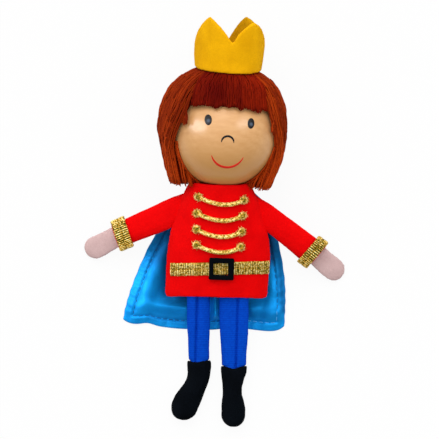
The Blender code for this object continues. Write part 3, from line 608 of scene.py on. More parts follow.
def strand_line(rng, across, start, end, sunk, points, edge, tuck=0.0):
    """One crinkled strand down the head. Edge gives its angle from how far across it lies."""
    sway, lean = rng.uniform(0, tau), rng.uniform(0, tau)
    length = (end - start) * HAIR_RUN
    turns = tau * length / CRINKLE * rng.uniform(0.8, 1.2)
    wander = rng.uniform(-0.6, 0.6) * MM
    line = []
    for step in range(points):
        along = step / (points - 1)
        share = mix(start, end, along)
        shift = 0.16 * MM * sin(sway + turns * along) + wander * sin(2.5 * along + lean)
        depth = sunk + 0.12 * MM * sin(lean + 0.83 * turns * along)
        depth += tuck * ease(0.5, 1.0, along)
        radius = max(6 * MM, hair_outline(share)[0])
        line.append(hair_point(share, edge(share, across) + shift / radius, depth))
    return line


def ragged(across, way, seed):
    """How far short or long the yarn is cut there: bunches, not single strands."""
    bunch = noise.noise(Vector((across * 34 * way, seed, 0)))
    return 0.022 * bunch + 0.012 * noise.noise(Vector((across * 130 * way, seed, 5)))


def side_edge(share, across):
    first = temple(share)
    return mix(first, tau - first, across)


def fringe_edge(share, across):
    return mix(-FRINGE_ANGLE, FRINGE_ANGLE, across)


def layer_depth(layer):
    """How far under the hair's outline a layer of strands lies."""
    return STRAND * (0.45 + 0.95 * layer)


def rows_of(rng, layer, sweep, jitter):
    """How far across the sweep each strand of a layer lies, staggered from layer to layer."""
    count = int(sweep * (HAIR_RADIUS - layer_depth(layer)) / STRAND_STEP)
    for index in range(count):
        yield (index + 0.5 * (layer % 2) + rng.uniform(-jitter, jitter)) / count


def strands_of_hair():
    """Strands over the sides and back, in layers, trimmed level at the neck."""
    rng = random.Random(11)
    lines = []
    sweep = tau - FRINGE_ANGLE - TEMPLE_ANGLE
    for layer, points in enumerate((20, 14, 7, 7, 7)):
        for across in rows_of(rng, layer, sweep, 0.4):
            across = min(0.999, max(-0.004, across))
            from_front = min(across, 1 - across)
            end = 0.985 + ragged(across, 1, layer * 0.3) + 0.05 * ease(0.2, 0.38, from_front)
            at_edge = layer > 1 and from_front < 0.015
            start = 0.3 if at_edge else (HAIR_START if layer < 2 else 0.7)
            roll = (1.3 - 0.25 * layer) * MM * bump_at(from_front, 0, 0.012)
            sunk = layer_depth(layer) + roll
            steps = 14 if at_edge else points
            lines.append(strand_line(rng, across, start, end, sunk, steps, side_edge))
    for index in range(130):
        start = rng.uniform(0.2, 0.8)
        across = rng.uniform(0.02, 0.98)
        end = min(1.0, start + rng.uniform(0.1, 0.2))
        lines.append(strand_line(rng, across, start, end, -rng.uniform(0.0, 0.2) * MM, 7, side_edge))
    for bunch in TUFTS:
        lines += tuft(*bunch)
    return lines + strands_under_cheeks() + whorl()


def whorl():
    """Strands that fan out from the top of the head, inside the crown."""
    rng = random.Random(37)
    lines = []
    for index in range(150):
        angle = tau * (index + rng.uniform(-0.5, 0.5)) / 150
        start, sunk = rng.choice((0.004, 0.03, 0.06)), STRAND * rng.uniform(0.6, 1.8)
        lines.append([hair_point(mix(start, 0.15, step / 5), angle, sunk) for step in range(6)])
    return lines


def cap():
    """The glued weft on the top of the head, near the yarn's darkest colour as painted shade."""

    def place(u, v, w):
        x, y = on_disc(u, v)
        return hair_point(mix(0.002, 0.17, hypot(x, y)), atan2(x, y), mix(2.6, 1.4, w) * MM)

    return shaded(slab(24, 24, place), 0.2)


def strands_under_cheeks():
    """The thick of the side hair, which fills the room between the curtain and the ball's underside."""
    rng = random.Random(31)
    lines = []
    for index in range(520):
        across = rng.choice((rng.uniform(-0.02, 0.34), rng.uniform(0.66, 1.02)))
        angle = side_edge(0.9, across)
        inward = rng.uniform(1.5, 11.5) * MM
        end = 0.985 + rng.uniform(-0.03, 0.02)
        line = []
        for step in range(7):
            share = mix(0.66, end, step / 6)
            radius, height = hair_outline(share)
            wood = sqrt(max(0.0, (HEAD_RADIUS + 0.45 * MM) ** 2 - height**2))
            out = max(radius - inward, wood) + 0.15 * MM * sin(1.7 * step + index)
            line.append(HEAD_FRAME @ Vector((out * sin(angle), height, out * cos(angle))))
        lines.append(line)
    return lines


def tuft(pixels, count, spread, off_wood, seed):
    """A bunch of yarn that hangs loose in front of the side hair, along pixels of the photo."""
    rng = random.Random(seed)
    route = [seen(*pixel, HEAD_CENTRE.z) for pixel in pixels]
    lines = []
    for index in range(count):
        offset = ((index + 0.5) / count - 0.5) * spread
        reach = HEAD_RADIUS + off_wood + STRAND * 0.8 * (index % 3)
        trim = rng.uniform(0.78, 1.0)
        line = []
        for step in range(12):
            along = step / 11 * trim * (len(route) - 1)
            part = min(len(route) - 2, int(along))
            point = route[part].lerp(route[part + 1], along - part)
            x = point.x + offset * (1 - 0.2 * step / 11) + 0.1 * MM * sin(step * 1.3 + index)
            gap = Vector((x - HEAD_CENTRE.x, point.y - HEAD_CENTRE.y)).length_squared
            near = reach - 0.9 * MM * step / 11
            line.append(Vector((x, point.y, HEAD_CENTRE.z + sqrt(max(0.0, near**2 - gap)))))
        lines.append(line)
    return lines


def strands_of_fringe():
    """Strands over the forehead, their uneven ends brought in to the wood."""
    rng = random.Random(23)
    lines = []
    for layer in range(3):
        sunk = layer_depth(layer)
        tuck = FRINGE_TUCK - 0.6 * sunk
        for across in rows_of(rng, layer, 2 * FRINGE_ANGLE, 0.3):
            across = min(1.01, max(-0.01, across))
            end = FRINGE_SHARE - 0.006 + ragged(across, 0.4, 7 + layer * 0.3)
            end += 0.012 * ease(0.6, 1.0, across) - 0.016 * bump_at(across, 0.42, 0.25)
            lines.append(strand_line(rng, across, HAIR_START, end, sunk, 16, fringe_edge, tuck))
    return lines


# The pixel about which the photo's fringe is darkest
# The painted shade on the fringe is centred on this pixel.
FRINGE_SHADE_PIXEL = (216, 92)


def yarn_painted_shading(point):
    """Painted shade in the middle of the fringe, and painted light towards the sides and the ends."""
    shade_centre = seen(*FRINGE_SHADE_PIXEL, point.z)
    gap = Vector((point.x - shade_centre.x, (point.y - shade_centre.y) * 0.7))
    front = ease(HEAD_CENTRE.z - 4 * MM, HEAD_CENTRE.z + 8 * MM, point.z)
    lower = ease(HEAD_CENTRE.y + 6 * MM, HEAD_CENTRE.y - 14 * MM, point.y)
    painted_shade = front * (0.45 * bump_at(gap.length, 0, 12 * MM) + 0.3 * bump_at(gap.length, 0, 4 * MM))
    return 0.85 + 0.75 * lower - painted_shade


def fringe_pad():
    """The weft under the fringe: a curved pad between its strands and the wood, in the yarn's darkest colour
    as painted shade.
    """

    def place(u, v, w):
        share = mix(HAIR_START, FRINGE_SHARE - 0.035, v)
        angle = mix(-FRINGE_ANGLE, FRINGE_ANGLE, mix(0.01, 0.99, u))
        tuck = FRINGE_TUCK * ease(0.5, 1.0, v)
        radius, height = hair_outline(share)
        deepest = hypot(radius, height) - HEAD_RADIUS - 0.3 * MM
        return hair_point(share, angle, min(deepest, mix(3.2 * MM, 1.5 * MM, w) + tuck))

    return shaded(slab(40, 16, place), 0.0)


def backing(node, shrink):
    """The weft under the strands: the solid's own shape, drawn in, in the yarn's darkest colour as painted
    shade.
    """
    return shaded(moved_out(solid_copy(node), lambda point: -shrink), 0.0)


# Tunic trim


def end_rings(node, heading):
    """Centre, half width and half depth of a tube's two ends along a level heading."""
    wide = Vector((-heading.y, heading.x, 0))
    points = [corner.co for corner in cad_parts[node].data.vertices]
    reach = [point.dot(heading) for point in points]
    rings = []
    for edge in (min(reach), max(reach)):
        ring = [point for point, along in zip(points, reach) if abs(along - edge) < 0.05 * MM]
        across = [point.dot(wide) for point in ring]
        heights = [point.z for point in ring]
        centre = heading * edge + wide * (min(across) + max(across)) / 2
        centre.z = (min(heights) + max(heights)) / 2
        rings.append((centre, (max(across) - min(across)) / 2, (max(heights) - min(heights)) / 2))
    return rings, wide


RIBBON = 0.3 * MM
TIE_THREAD = 0.24 * MM


def ribbed(place, ribs, pitch, seed, ground):
    """A ribbon of gold thread: a thin band, a rib for each thread and a row that binds them. Ground is the
    band's painted shade, dark between the ribs, and also shifts the ribs' painted light.
    """
    rng = random.Random(seed)
    lines, shades = [], []
    steps = 16
    for index in range(ribs):
        u = (index + 0.5) / ribs
        slant = rng.uniform(-0.3, 0.3) / ribs
        low, high = rng.uniform(-0.04, 0.01), rng.uniform(0.99, 1.04)
        line = []
        for step in range(steps + 1):
            v = step / steps
            painted_rib_light = min(1.0, abs(sin(tau * mix(0.04, 0.96, v))) * 1.6)
            # Painted light along each rib, darker at its ends and where it dips under the binding row.
            shades.append(0.45 + 0.85 * ground + 0.3 * painted_rib_light)
            rise = 0.7 + 0.9 * min(1.0, 1.6 * abs(sin(tau * step / steps)))
            line.append(place(u + slant * (v - 0.5), mix(low, high, v), RIBBON * rise))
        lines.append(line)
    tie = []
    for index in range(ribs * 4 + 1):
        tie.append(place(index / ribs / 4, 0.5, RIBBON * (1.4 + 0.8 * cos(pi * index / 2))))
    band = slab(ribs * 2, 6, lambda u, v, w: place(u, v, RIBBON * mix(-0.3, 0.8, w)))
    shaded(band, ground)
    rib_threads = threads(lines, pitch * 0.74, 6, 0.7, shades)
    return joined(band, rib_threads, threads([tie], TIE_THREAD, 4, 1.0, [0.5] * len(tie)))


def twisted_cord(line, ply, pitch, plies=3):
    """Plies wound round each other along a line."""
    wound = [[] for _ in range(plies)]
    travelled = 0.0
    for index, point in enumerate(line):
        before, after = line[max(0, index - 1)], line[min(len(line) - 1, index + 1)]
        along = (after - before).normalized()
        travelled += (point - before).length
        side = along.cross(Vector((0, 0, 1))).normalized()
        up = side.cross(along)
        for number in range(plies):
            angle = tau * (travelled / pitch + number / plies)
            wound[number].append(point + (side * cos(angle) + up * sin(angle)) * ply * 0.56)
    return wound


def cord_along(line, ply, pitch):
    """The wound plies as threads, olive as painted shade where they lie against each other and gold as
    painted light outside.
    """
    wound = twisted_cord(line, ply, pitch)
    cord = threads(wound, ply, 6)
    layer = cord.verts.layers.float["shade"]
    for corner in cord.verts:
        out = (corner.co - line[corner.index // 6 % len(line)]).length
        # Painted shade where the plies lie against each other, painted light outside.
        corner[layer] = mix(0.25, 0.95, ease(0.5 * ply, 1.05 * ply, out))
    return cord


# The photo's pixels for each braid: left knot, middle of the swag, right knot
BRAID_PIXELS = [
    ((198.4, 197.0), (222.6, 204.6), (243.7, 200.2)),
    ((197.0, 213.2), (221.4, 220.6), (242.6, 215.8)),
    ((196.6, 229.2), (220.2, 236.8), (241.6, 231.8)),
    ((196.4, 244.8), (220.2, 252.4), (240.8, 247.0)),
]
BRAID_HEIGHT = 20 * MM
BRAID_PLY = 0.85 * MM
BRAID_PITCH = 2.4 * MM
KNOT_REACH = 1.55 * MM
KNOT_THREAD = 0.42 * MM
STRAY_FIBRE = 0.1 * MM


def laid_on(tunic, x, y, lift):
    """The point that far above the tunic, at a point of the plan."""
    return Vector((x, y, top_of(tunic, x, y)[0].z + lift))


def braid_line(pixels, tunic):
    """A cord's path over the chest, from the middle of one knot to that of the other."""
    left, middle, right = (seen(*pixel, BRAID_HEIGHT) for pixel in pixels)
    control = middle * 2 - (left + right) / 2
    line = []
    for step in range(49):
        t = step / 48
        point = left * (1 - t) ** 2 + control * (2 * t * (1 - t)) + right * t**2
        line.append(laid_on(tunic, point.x, point.y, BRAID_PLY))
    return line


def knot(centre, tunic, seed):
    """A rosette: the cord's end opened out into loops, olive in the middle as painted shade and pale at
    their tips as painted light, with stray fibres.
    """
    rng = random.Random(seed)
    lines, shades, strays = [], [], []
    petals = 21
    for index in range(petals):
        angle = tau * (index + rng.uniform(-0.2, 0.2)) / petals
        reach = KNOT_REACH * rng.uniform(0.9, 1.08)
        line = []
        for step in range(7):
            along = step / 6
            out = mix(0.2 * MM, reach, along)
            x, y = centre.x + out * cos(angle), centre.y + out * sin(angle)
            dome = 1.75 * MM * sqrt(max(0.0, 1 - (0.93 * along) ** 2)) - 0.1 * MM
            line.append(laid_on(tunic, x, y, dome))
            # Painted shade in the middle, painted light at the loops' tips.
            shades.append(mix(0.45, 1.2, ease(0.35, 0.7, along)))
        lines.append(line)
    for index in range(12):
        angle = rng.uniform(0, tau)
        turn = rng.uniform(-0.5, 0.5)
        line = []
        for step in range(4):
            out = KNOT_REACH * mix(0.7, rng.uniform(1.25, 1.5), step / 3)
            x = centre.x + out * cos(angle + turn * step / 3)
            y = centre.y + out * sin(angle + turn * step / 3)
            line.append(laid_on(tunic, x, y, mix(1.0, 0.3, step / 3) * MM))
        strays.append(line)
    return joined(threads(lines, KNOT_THREAD, 4, 1.0, shades), threads(strays, STRAY_FIBRE, 4))


# Cape

COLLAR_CENTRE = Vector((2.041, 15.086, 20.02)) * MM
CAPE_TOP = COLLAR_CENTRE.y - 2.0 * MM
CAPE_LENGTH = 52.2 * MM
CAPE_NECK = 27.0 * MM
CAPE_HEM = 58.8 * MM
CAPE_NECK_HEIGHT = 10.1 * MM
CAPE_STITCH = 3.1 * MM
STITCH_THREAD = 0.26 * MM
SATIN = 0.35 * MM

# Soft ridges in the laid cape: the photo's pixels at both ends, height and half width in mm
CAPE_RIDGES = [
    ((146.0, 304.0), (186.0, 309.0), 2.2, 2.3),
    ((252.0, 310.0), (276.0, 308.0), 1.2, 2.2),
    ((215.5, 294.0), (215.5, 315.0), 5.6, 1.8),
]
# Painted shade on the satin, mostly beside the tunic and under the sleeves: the pixels at both ends, depth
# of tone and half width in mm
CAPE_PAINTED_SHADES = [
    ((171.5, 222.0), (169.0, 292.0), 0.95, 3.4),
    ((163.0, 226.0), (162.0, 258.0), 0.7, 4.6),
    ((168.0, 290.0), (186.0, 296.0), 0.8, 2.8),
    ((151.0, 317.0), (186.0, 320.0), 0.4, 1.8),
    ((268.0, 230.0), (271.0, 258.0), 0.85, 3.4),
    ((277.0, 235.0), (283.5, 310.0), 0.62, 1.4),
    ((250.0, 317.0), (276.0, 317.0), 0.35, 2.2),
]
# The swell along each side hem: how far in from it, half width and height in mm
CAPE_SWELLS = {"left": (6.0, 4.4, 2.9), "right": (4.4, 4.2, 2.8)}


def cape_plan(u, v):
    """Where the cape lies, seen from above."""
    neck_x = COLLAR_CENTRE.x - 0.3 * MM
    hem_x = neck_x - 5.4 * MM
    left = mix(neck_x - CAPE_NECK / 2, hem_x - CAPE_HEM / 2, 1 - (1 - v) ** 1.38)
    right = mix(neck_x + CAPE_NECK / 2, hem_x + CAPE_HEM / 2, 1 - (1 - v) ** 3.2)
    right -= 2.2 * MM * ease(0.12, 0.0, v)
    left += 2.6 * MM * ease(0.14, 0.0, v)
    left -= 0.8 * MM * ease(0.15, 0.5, v)
    right += 0.7 * MM * bump_at(v, 0.74, 0.24)
    pucker = 0.08 * MM * sin(v * CAPE_LENGTH / (0.8 * MM) + 3 * sin(7 * v))
    pucker *= max(0.0, 1 - 8 * min(u, 1 - u))
    corner = 2.2 * MM * abs(2 * u - 1) ** 14 * v
    wave = 0.5 * MM * sin(3.5 * pi * u + 0.5) * v
    wave += 0.8 * MM * bump_at(u, 0.15, 0.05) * v**3 - 0.6 * MM * bump_at(u, 0.56, 0.08) * v**3
    slant = 1.9 * MM * (0.5 - u) * v
    return mix(left, right, u) + pucker, CAPE_TOP - CAPE_LENGTH * v + corner + wave + slant


def cape_width(v):
    return cape_plan(1.0, v)[0] - cape_plan(0.0, v)[0]


def from_segment(x, y, start, end):
    """How far a point of the plan is from a line between two others."""
    way = Vector((end.x - start.x, end.y - start.y))
    gap = Vector((x - start.x, y - start.y))
    share = min(1.0, max(0.0, gap.dot(way) / way.length_squared))
    return (gap - way * share).length


RIDGES = [
    (seen(*start, 4 * MM), seen(*end, 4 * MM), height * MM, width * MM)
    for start, end, height, width in CAPE_RIDGES
]
PAINTED_SHADES = [
    (seen(*start, 2 * MM), seen(*end, 2 * MM), depth, width * MM)
    for start, end, depth, width in CAPE_PAINTED_SHADES
]


def cape_painted_shade(point):
    """1 where the satin keeps its colour, and less where painted shade darkens it."""
    painted_shade = 0.0
    for start, end, depth, half in PAINTED_SHADES:
        painted_shade = max(painted_shade, depth * bump_at(from_segment(point.x, point.y, start, end), 0, half))
    return 1 - painted_shade


def cape_height(u, v, x, y, width):
    """Height of the cloth's underside before anything presses on it."""
    across = 2 * u - 1
    settle = max(0.0, 1 - v / 0.42) ** 2
    gathers = 0.7 * MM * cos(tau * 9 * u) * (1 - ease(0.05, 0.45, v))
    neck = CAPE_NECK_HEIGHT + (2.5 if u < 0.5 else 6.0) * MM * across**2 + gathers
    from_side = min(u, 1 - u) * width
    from_hem = (1 - v) * CAPE_LENGTH
    from_edge = min(from_side, from_hem)
    inward, half, height = CAPE_SWELLS["left" if u < 0.5 else "right"]
    drape = height * MM * bump_at(from_side, inward * MM, half * MM)
    drape *= ease(0.0, 7 * MM, from_hem)
    for start, end, height, half in RIDGES:
        drape = hypot(drape, height * bump_at(from_segment(x, y, start, end), 0, half))
    crease = noise.noise(Vector((x, y, 0)) / (5.5 * MM))
    drape += 0.7 * MM * max(0.0, crease + 0.1) * ease(0.0, 0.3, v)
    along_edge = v * CAPE_LENGTH if from_side < from_hem else u * width
    uneven = 2.5 * noise.noise(Vector((along_edge / (5 * MM), 0, 3)))
    pucker = 0.5 + 0.5 * sin(tau * along_edge / (3.4 * MM) + 1.6 * uneven)
    drape += 0.2 * MM * pucker * bump_at(from_edge, CAPE_STITCH * 0.6, 1.6 * MM)
    drape += 0.35 * MM * ease(CAPE_STITCH, CAPE_STITCH - 0.8 * MM, from_edge)
    drape -= 0.35 * MM * bump_at(from_edge, CAPE_STITCH, 0.4 * MM)
    return neck * settle + max(0.0, drape) * (1 - settle)


def cape_point(u, v, w, above):
    """A point of the laid cloth, which is thin at its edges and flat under what lies on it."""
    x, y = cape_plan(u, v)
    width = cape_width(v)
    z = cape_height(u, v, x, y, width)
    from_edge = min(min(u, 1 - u) * width, (1 - v) * CAPE_LENGTH)
    cloth = SATIN * (0.4 + 0.6 * ease(0.0, 0.5 * MM, from_edge))
    hit, _, _, _ = above.ray_cast(Vector((x, y, -1 * MM)), Vector((0, 0, 1)))
    if hit is not None:
        z = max(0.0, min(z, hit.z - 0.15 * MM - cloth))
    return Vector((x, y, z + cloth * w))


def satin_cape(above):
    return shaded(slab(150, 140, lambda u, v, w: cape_point(u, v, w, above)), cape_painted_shade)


def cape_stitches(above):
    """Running stitches along the two sides and the lower edge: pale as painted light only at the lower
    right, dark navy as painted shade elsewhere.
    """
    lines = []
    stitch, gap = 1.5 * MM, 0.7 * MM
    routes = [
        (CAPE_LENGTH, lambda s: (CAPE_STITCH / cape_width(s / CAPE_LENGTH), s / CAPE_LENGTH)),
        (CAPE_LENGTH, lambda s: (1 - CAPE_STITCH / cape_width(s / CAPE_LENGTH), s / CAPE_LENGTH)),
        (CAPE_HEM, lambda s: (s / CAPE_HEM, 1 - CAPE_STITCH / CAPE_LENGTH)),
    ]
    for length, route in routes:
        start = CAPE_STITCH
        while start + stitch < length - CAPE_STITCH:
            line = []
            for step in range(5):
                u, v = route(start + stitch * step / 4)
                point = cape_point(u, v, 1, above)
                point.z += 0.08 * MM * sin(pi * step / 4)
                line.append(point)
            lines.append(line)
            start += stitch + gap
    low = CAPE_TOP - CAPE_LENGTH + 6 * MM

    # Painted light: the thread is pale only near the lower right.
    def painted_shading(point):
        return ease(0, 8 * MM, point.x) * ease(low + 2 * MM, low, point.y)

    return shaded(threads(lines, STITCH_THREAD, 4), painted_shading)


# Stage

bpy.context.scene.view_settings.view_transform = "Standard"


def white_floor():
    """A wide white card. Seen straight or in a gloss it is nearly plain white, and keeps its shadows."""
    card, tree, sockets = surface("white_card", Roughness=0.9, Specular_IOR_Level=0.1)
    sockets["Base Color"].default_value = (0.85, 0.85, 0.85, 1)
    glow = add(tree, "Emission", {"Color": (1, 1, 1, 1), "Strength": 1.0})
    rays = add(tree, "LightPath").node.outputs
    shiny = add(tree, "Math", {0: rays["Is Glossy Ray"], 1: rays["Is Transmission Ray"]}, operation="ADD")
    straight = {0: rays["Is Camera Ray"], 1: shiny}
    backdrop = add(tree, "Math", straight, operation="ADD", use_clamp=True)
    share = add(tree, "Math", {0: backdrop, 1: 0.93}, operation="MULTIPLY")
    lit = tree.nodes["Principled BSDF"].outputs[0]
    out = tree.nodes["Material Output"].inputs["Surface"]
    add(tree, "MixShader", {0: share, 1: lit, 2: glow}, to=out)
    bm = bmesh.new()
    bmesh.ops.create_grid(bm, x_segments=1, y_segments=1, size=3.0)
    piece_of("floor", bm, card)


def studio_world():
    """A pale room, brightest above the head's end of the floor. The camera sees it plain white."""
    world = bpy.data.worlds.new("studio")
    bpy.context.scene.world = world
    world.use_nodes = True
    tree = world.node_tree
    direction = add(tree, "TexCoord", out="Generated")
    toward = Vector((-0.08, 0.56, 0.82)).normalized()
    facing = add(tree, "VectorMath", {0: direction, 1: toward}, operation="DOT_PRODUCT")
    ahead = add(tree, "Math", {0: facing, 1: 0.0}, operation="MAXIMUM")
    broad = add(tree, "Math", {0: ahead, 1: 2.0}, operation="POWER")
    narrow = add(tree, "Math", {0: ahead, 1: 12.0}, operation="POWER")
    wash = add(tree, "Math", {0: broad, 1: 1.0, 2: 0.37}, operation="MULTIPLY_ADD")
    level = add(tree, "Math", {0: narrow, 1: 2.7, 2: wash}, operation="MULTIPLY_ADD")
    straight = add(tree, "LightPath", out="Is Camera Ray")
    background = tree.nodes["Background"].inputs
    add(tree, "Mix", {0: straight, 2: level, 3: 1.0}, to=background["Strength"])
    background["Color"].default_value = (1, 1, 1, 1)


def softbox(name, toward, width, height, radiance):
    """A lamp that only shines in what is glossy, for the highlights on the lacquer and satin."""
    data = bpy.data.lights.new(name, "AREA")
    data.shape = "ELLIPSE"
    data.size, data.size_y = width, height
    data.energy = radiance * pi * width * height
    lamp = placed(name, data)
    aim = Vector(toward).normalized()
    lamp.location = HEAD_CENTRE + aim * 900 * MM
    lamp.rotation_euler = aim.to_track_quat("Z", "Y").to_euler()
    lamp.visible_diffuse = False


def overhead_camera():
    """The camera straight above, its view as wide as the photo's frame."""
    data = bpy.data.cameras.new("camera")
    data.sensor_width = 36.0
    data.angle = 2 * atan(IMAGE_SIDE * PIXEL / 2 / CAMERA_DISTANCE)
    data.clip_start, data.clip_end = 0.05, 20.0
    camera = placed("camera", data)
    camera.location = CAMERA_PLACE
    bpy.context.scene.camera = camera


white_floor()
studio_world()
softbox("softbox_left", (-0.815, 0.18, 0.55), width=0.36, height=0.66, radiance=10.5)
softbox("softbox_right", (0.657, 0.269, 0.70), width=0.26, height=0.48, radiance=7.0)
overhead_camera()

wood = lacquered_beech("lacquered_beech")
# The slate middle of the black paint is a painted reflection in the eyes.
black_paint = paint("black_enamel", "#0c0d10", "#4c5a6c")
red_paint = paint("red_enamel", "#dd2412", "#dd2412")
auburn = yarn("auburn_acrylic_yarn", "#bc420e", "#641004")
# A darker, redder copy of the auburn yarn for the fringe: painted shade.
shaded_auburn = yarn("auburn_yarn_painted_shade", "#a02406", "#5c0603")
# Heights below which the crown's felt darkens: painted shade on the inside of its back.
crown_shade_heights = (HEAD_CENTRE.z - 4 * MM, HEAD_CENTRE.z + 2 * MM)
yellow = felt("yellow_wool_felt", "#fcbc0a", "#e6a505", painted_shading=crown_shade_heights)
red = felt("red_wool_felt", "#fc0406", "#e60104")
pink = felt("pale_pink_wool_felt", "#dcbcba", "#c8a7a5")
black = felt("black_wool_felt", "#060b12", "#010306")
gold = lurex("gold_lurex")
blue_knit = knit("blue_cotton_jersey", "#0552d4", "#023eb8")
blue_satin = satin("blue_satin")
# Dark navy as painted shade, pale blue as painted light on the stitches.
blue_thread = paint("blue_thread", "#0a3f74", "#5cb4ea")

# Head and hair
dress("turned_head", turned_head(), wood, "lacquered_beech", "head")
for side, way, drop in (("left", -1, 0.0), ("right", 1, 0.45 * MM)):
    dress(f"painted_eye_{side}", painted_eye(way, drop), black_paint, "black_paint", f"eye_{side}")
nose = painted_arc(4.5 * MM, 2.3 * MM, drop=1.0 * MM, shift=-0.5 * MM, way=1, brush=0.75 * MM)
dress("painted_nose", nose, black_paint, "black_paint", "nose")
smile = painted_arc(11.6 * MM, 4.2 * MM, drop=6.3 * MM, shift=0.0, way=-1, brush=0.85 * MM)
dress("painted_smile", smile, red_paint, "red_paint", "smile")

# Painted shade and painted light on the hair's strands.
hair = shaded(threads(strands_of_hair(), STRAND, 4, 0.6), yarn_painted_shading)
hair = joined(hair, backing("hair", 0.9 * MM), cap())
dress("yarn_hair", hair, auburn, "auburn_yarn", "hair")
fringe = shaded(threads(strands_of_fringe(), STRAND, 4, 0.6), yarn_painted_shading)
dress("yarn_fringe", joined(fringe, fringe_pad()), shaded_auburn, "auburn_yarn", "fringe")

CROWN_BASE = HEAD_FRAME @ Vector((0, 23.2 * MM, 0))
CROWN_NOTCH = seen(231, 40)
CROWN_UP = (HEAD_FRAME.to_3x3() @ Vector((0, 1, 0))).normalized()


def spread_crown(point):
    """Brings the crown's lower front edge down and out, and trims its points and front notch."""
    rise = (point - CROWN_BASE).dot(CROWN_UP)
    front = ease(0, 10 * MM, point.z - CROWN_BASE.z)
    low = ease(4 * MM, 0, rise) * front
    left = ease(10 * MM, 18 * MM, rise) * ease(0, -4 * MM, point.x - CROWN_BASE.x)
    outward = (point - CROWN_BASE) - CROWN_UP * rise
    tips = ease(10 * MM, 17 * MM, rise)
    up = CROWN_UP * (mix(0.3, 0.75, front) * tips - 0.45 * low) * MM
    notch = bump_at(point.x, CROWN_NOTCH.x, 2.2 * MM) * ease(5 * MM, 9 * MM, rise) * front
    up -= CROWN_UP * 1.0 * MM * notch
    slim = 0.9 * MM * left * ease(-5 * MM, -9 * MM, point.x - CROWN_BASE.x)
    shift = slim + (0.6 * notch - 0.3 * left) * MM
    return point + up + outward * (0.03 * low + 0.02) + Vector((shift, 0, 0))


crown_cut = {"voxel": 0.36 * MM, "relax": 6, "swell": 0.1 * MM, "reshape": spread_crown}
felt_piece("felt_crown", "crown", yellow, "yellow_felt", **crown_cut)

# Tunic and its trim
TUNIC_BULGE = seen(269, 250)
TUNIC_CORNER = seen(171, 296)


def fitted(point):
    """Fills out the tunic's right side at the waist and rounds off its lower left corner."""
    right = ease(8 * MM, 16 * MM, point.x) * ease(14 * MM, 4 * MM, point.y)
    right *= 0.35 + 0.9 * bump_at(point.y, TUNIC_BULGE.y, 9 * MM)
    corner = bump_at((point.xy - TUNIC_CORNER.xy).length, 0, 3.5 * MM)
    left = ease(-10 * MM, -17 * MM, point.x) * ease(14 * MM, 4 * MM, point.y)
    return point + Vector(((right - 0.5 * left) * MM, -0.5 * MM * corner, 0))


tunic_front = felt_piece("felt_tunic_front", "tunic_front", red, "red_felt", swell=0.16 * MM, reshape=fitted)
felt_piece("felt_tunic_back", "tunic_back", red, "red_felt", swell=0.1 * MM, reshape=fitted)
chest = tree_of(tunic_front)
for number, pixels in enumerate(BRAID_PIXELS, 1):
    line = braid_line(pixels, chest)
    cord = cord_along(line, BRAID_PLY, BRAID_PITCH)
    knots = [knot(end, chest, number * 10 + index) for index, end in enumerate((line[0], line[-1]))]
    braid = joined(cord, *knots)
    dress(f"lurex_braid_{number}", braid, gold, "gold_braid", f"chest_braid_{number}")

BELT_ENDS = (seen(170.8, 269.4, 14 * MM), seen(268.6, 267.2, 14 * MM))
BELT_WIDTH = 4.6 * MM
BELT_RIBS = 58


def belt_place(u, v, lift):
    point = BELT_ENDS[0].lerp(BELT_ENDS[1], u)
    place, normal = top_of(chest, point.x, point.y + BELT_WIDTH * (v - 0.5))
    return place + normal * (lift + 0.1 * MM)


belt_pitch = (BELT_ENDS[1] - BELT_ENDS[0]).length / BELT_RIBS
dress("lurex_belt", ribbed(belt_place, BELT_RIBS, belt_pitch, 5, 0.3), gold, "gold_braid", "belt")
BUCKLE_BAR = seen(213.6, 268.5, 16 * MM)


def cut_window(point):
    """Widens the buckle's window a little to the left, as it is cut by hand."""
    return point - Vector((0.4 * MM * bump_at(point.x, BUCKLE_BAR.x, 0.8 * MM), 0, 0))


buckle_cut = {"voxel": 0.22 * MM, "relax": 14, "swell": 0.25 * MM, "reshape": cut_window}
felt_piece("felt_buckle", "buckle", black, "black_felt", **buckle_cut)

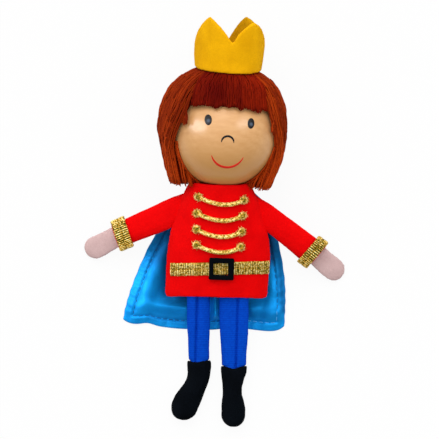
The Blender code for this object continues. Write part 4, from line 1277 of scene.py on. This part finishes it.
# Arms: which way each points, how far it falls below level in degrees, how much farther out than the
# solid the cuff lies, and how much lower the hand
ARMS = {"left": (-1, 18.5, 0.75 * MM, 0.9 * MM), "right": (1, 40.6, 1.1 * MM, 0.3 * MM)}
CUFF_RIBS, CUFF_PITCH = 44, 0.66 * MM
for side, (way, fall, reach, sink) in ARMS.items():
    angle = radians(fall)
    heading = Vector((way * cos(angle), -sin(angle), 0))
    rings, wide = end_rings(f"cuff_{side}", heading)
    (back, back_width, back_depth), (end, end_width, end_depth) = rings
    low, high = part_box(f"sleeve_{side}")
    root = high.x if way < 0 else low.x
    hand_low, hand_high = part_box(f"hand_{side}")
    hand_centre = (hand_low + hand_high) / 2

    def cuff_place(u, v, lift):
        turn = tau * u
        out = lift - 0.35 * MM
        width = (mix(back_width, end_width, v) + out) * 1.02
        depth = mix(back_depth, end_depth, v) + out
        centre = back.lerp(end, v) + heading * reach
        return centre + wide * width * cos(turn) + Vector((0, 0, depth * sin(turn)))

    cuff = ribbed(cuff_place, CUFF_RIBS, CUFF_PITCH, 9, 0.22)
    dress(f"lurex_cuff_{side}", cuff, gold, "gold_braid", f"cuff_{side}")

    def sewn_on(point):
        """Draws the sleeve's root on to the tunic, where it is sewn, and its end on under the cuff."""
        near = ease(5 * MM, 0.0, abs(point.x - root))
        far = ease(8 * MM, 22 * MM, abs(point.x - root))
        drawn = Vector((-way * 1.0 * MM, 0, -0.9 * MM)) * near
        return point + drawn + heading * (reach + 0.25 * MM) * far

    def laid_hand(point):
        """Widens the hand across the arm and lets it hang a little lower."""
        across = (point - hand_centre).dot(wide)
        along = (point - hand_centre).dot(heading)
        drop = sink * ease(-6 * MM, 4 * MM, along)
        return point + wide * across * 0.07 - Vector((0, drop, 0))

    felt_piece(f"felt_sleeve_{side}", f"sleeve_{side}", red, "red_felt", reshape=sewn_on)
    felt_piece(f"felt_hand_{side}", f"hand_{side}", pink, "pink_felt", relax=3, reshape=laid_hand)

# Legs and boots: the crease's pixels at hip and ankle, and where and how deep each boot's top dips
CREASE_PIXELS = {"left": ((197.0, 302), (195.3, 362)), "right": ((237.7, 304), (235.9, 368))}
BOOT_TOPS = {"left": (196.0, 362.5, 0.6 * MM), "right": (233.2, 367.5, 0.9 * MM)}
for side, (upper, lower) in CREASE_PIXELS.items():
    top, bottom = seen(*upper, 8 * MM), seen(*lower, 5 * MM)
    across, down, dip = BOOT_TOPS[side]
    notch = seen(across, down, 4 * MM)

    def creased(point):
        """Presses the crease into the front of the leg."""
        share = (top.y - point.y) / (top.y - bottom.y)
        offset = point.x - mix(top.x, bottom.x, share)
        middle = mix(8.0, 3.5, ease(0, 1, share)) * MM
        if point.z < middle:
            return point
        return point - Vector((0, 0, 1.3 * MM * bump_at(offset, 0, 0.42 * MM)))

    def worn_boot(point):
        """Lets the boot's top edge dip in front, and spreads its opening."""
        near_top = ease(-5 * MM, 0.0, point.y - notch.y)
        near_middle = bump_at(point.x, notch.x, 2.2 * MM)
        spread = 0.05 * (point.x - notch.x) * near_top
        return point + Vector((spread, -dip * near_middle * near_top, 0))

    leg, boot = f"leg_{side}", f"boot_{side}"
    leg_cut = {"voxel": 0.3 * MM, "relax": 3, "swell": 0.12 * MM, "reshape": creased}
    felt_piece("knit_" + leg, leg, blue_knit, "blue_knit", **leg_cut)
    felt_piece("felt_" + boot, boot, black, "black_felt", relax=6, swell=0.15 * MM, reshape=worn_boot)

carriers = ("tunic_back", "leg_left", "leg_right", "sleeve_left", "sleeve_right", "hair")
above = tree_of(*[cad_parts[name] for name in carriers])
cape = dress("satin_cape", satin_cape(above), blue_satin, "blue_satin", "cape")
hem_stitches = dress("cape_stitches", cape_stitches(above), blue_thread, "blue_satin")
cape_area = sum(cape_width((step + 0.5) / 40) for step in range(40)) / 40 * CAPE_LENGTH
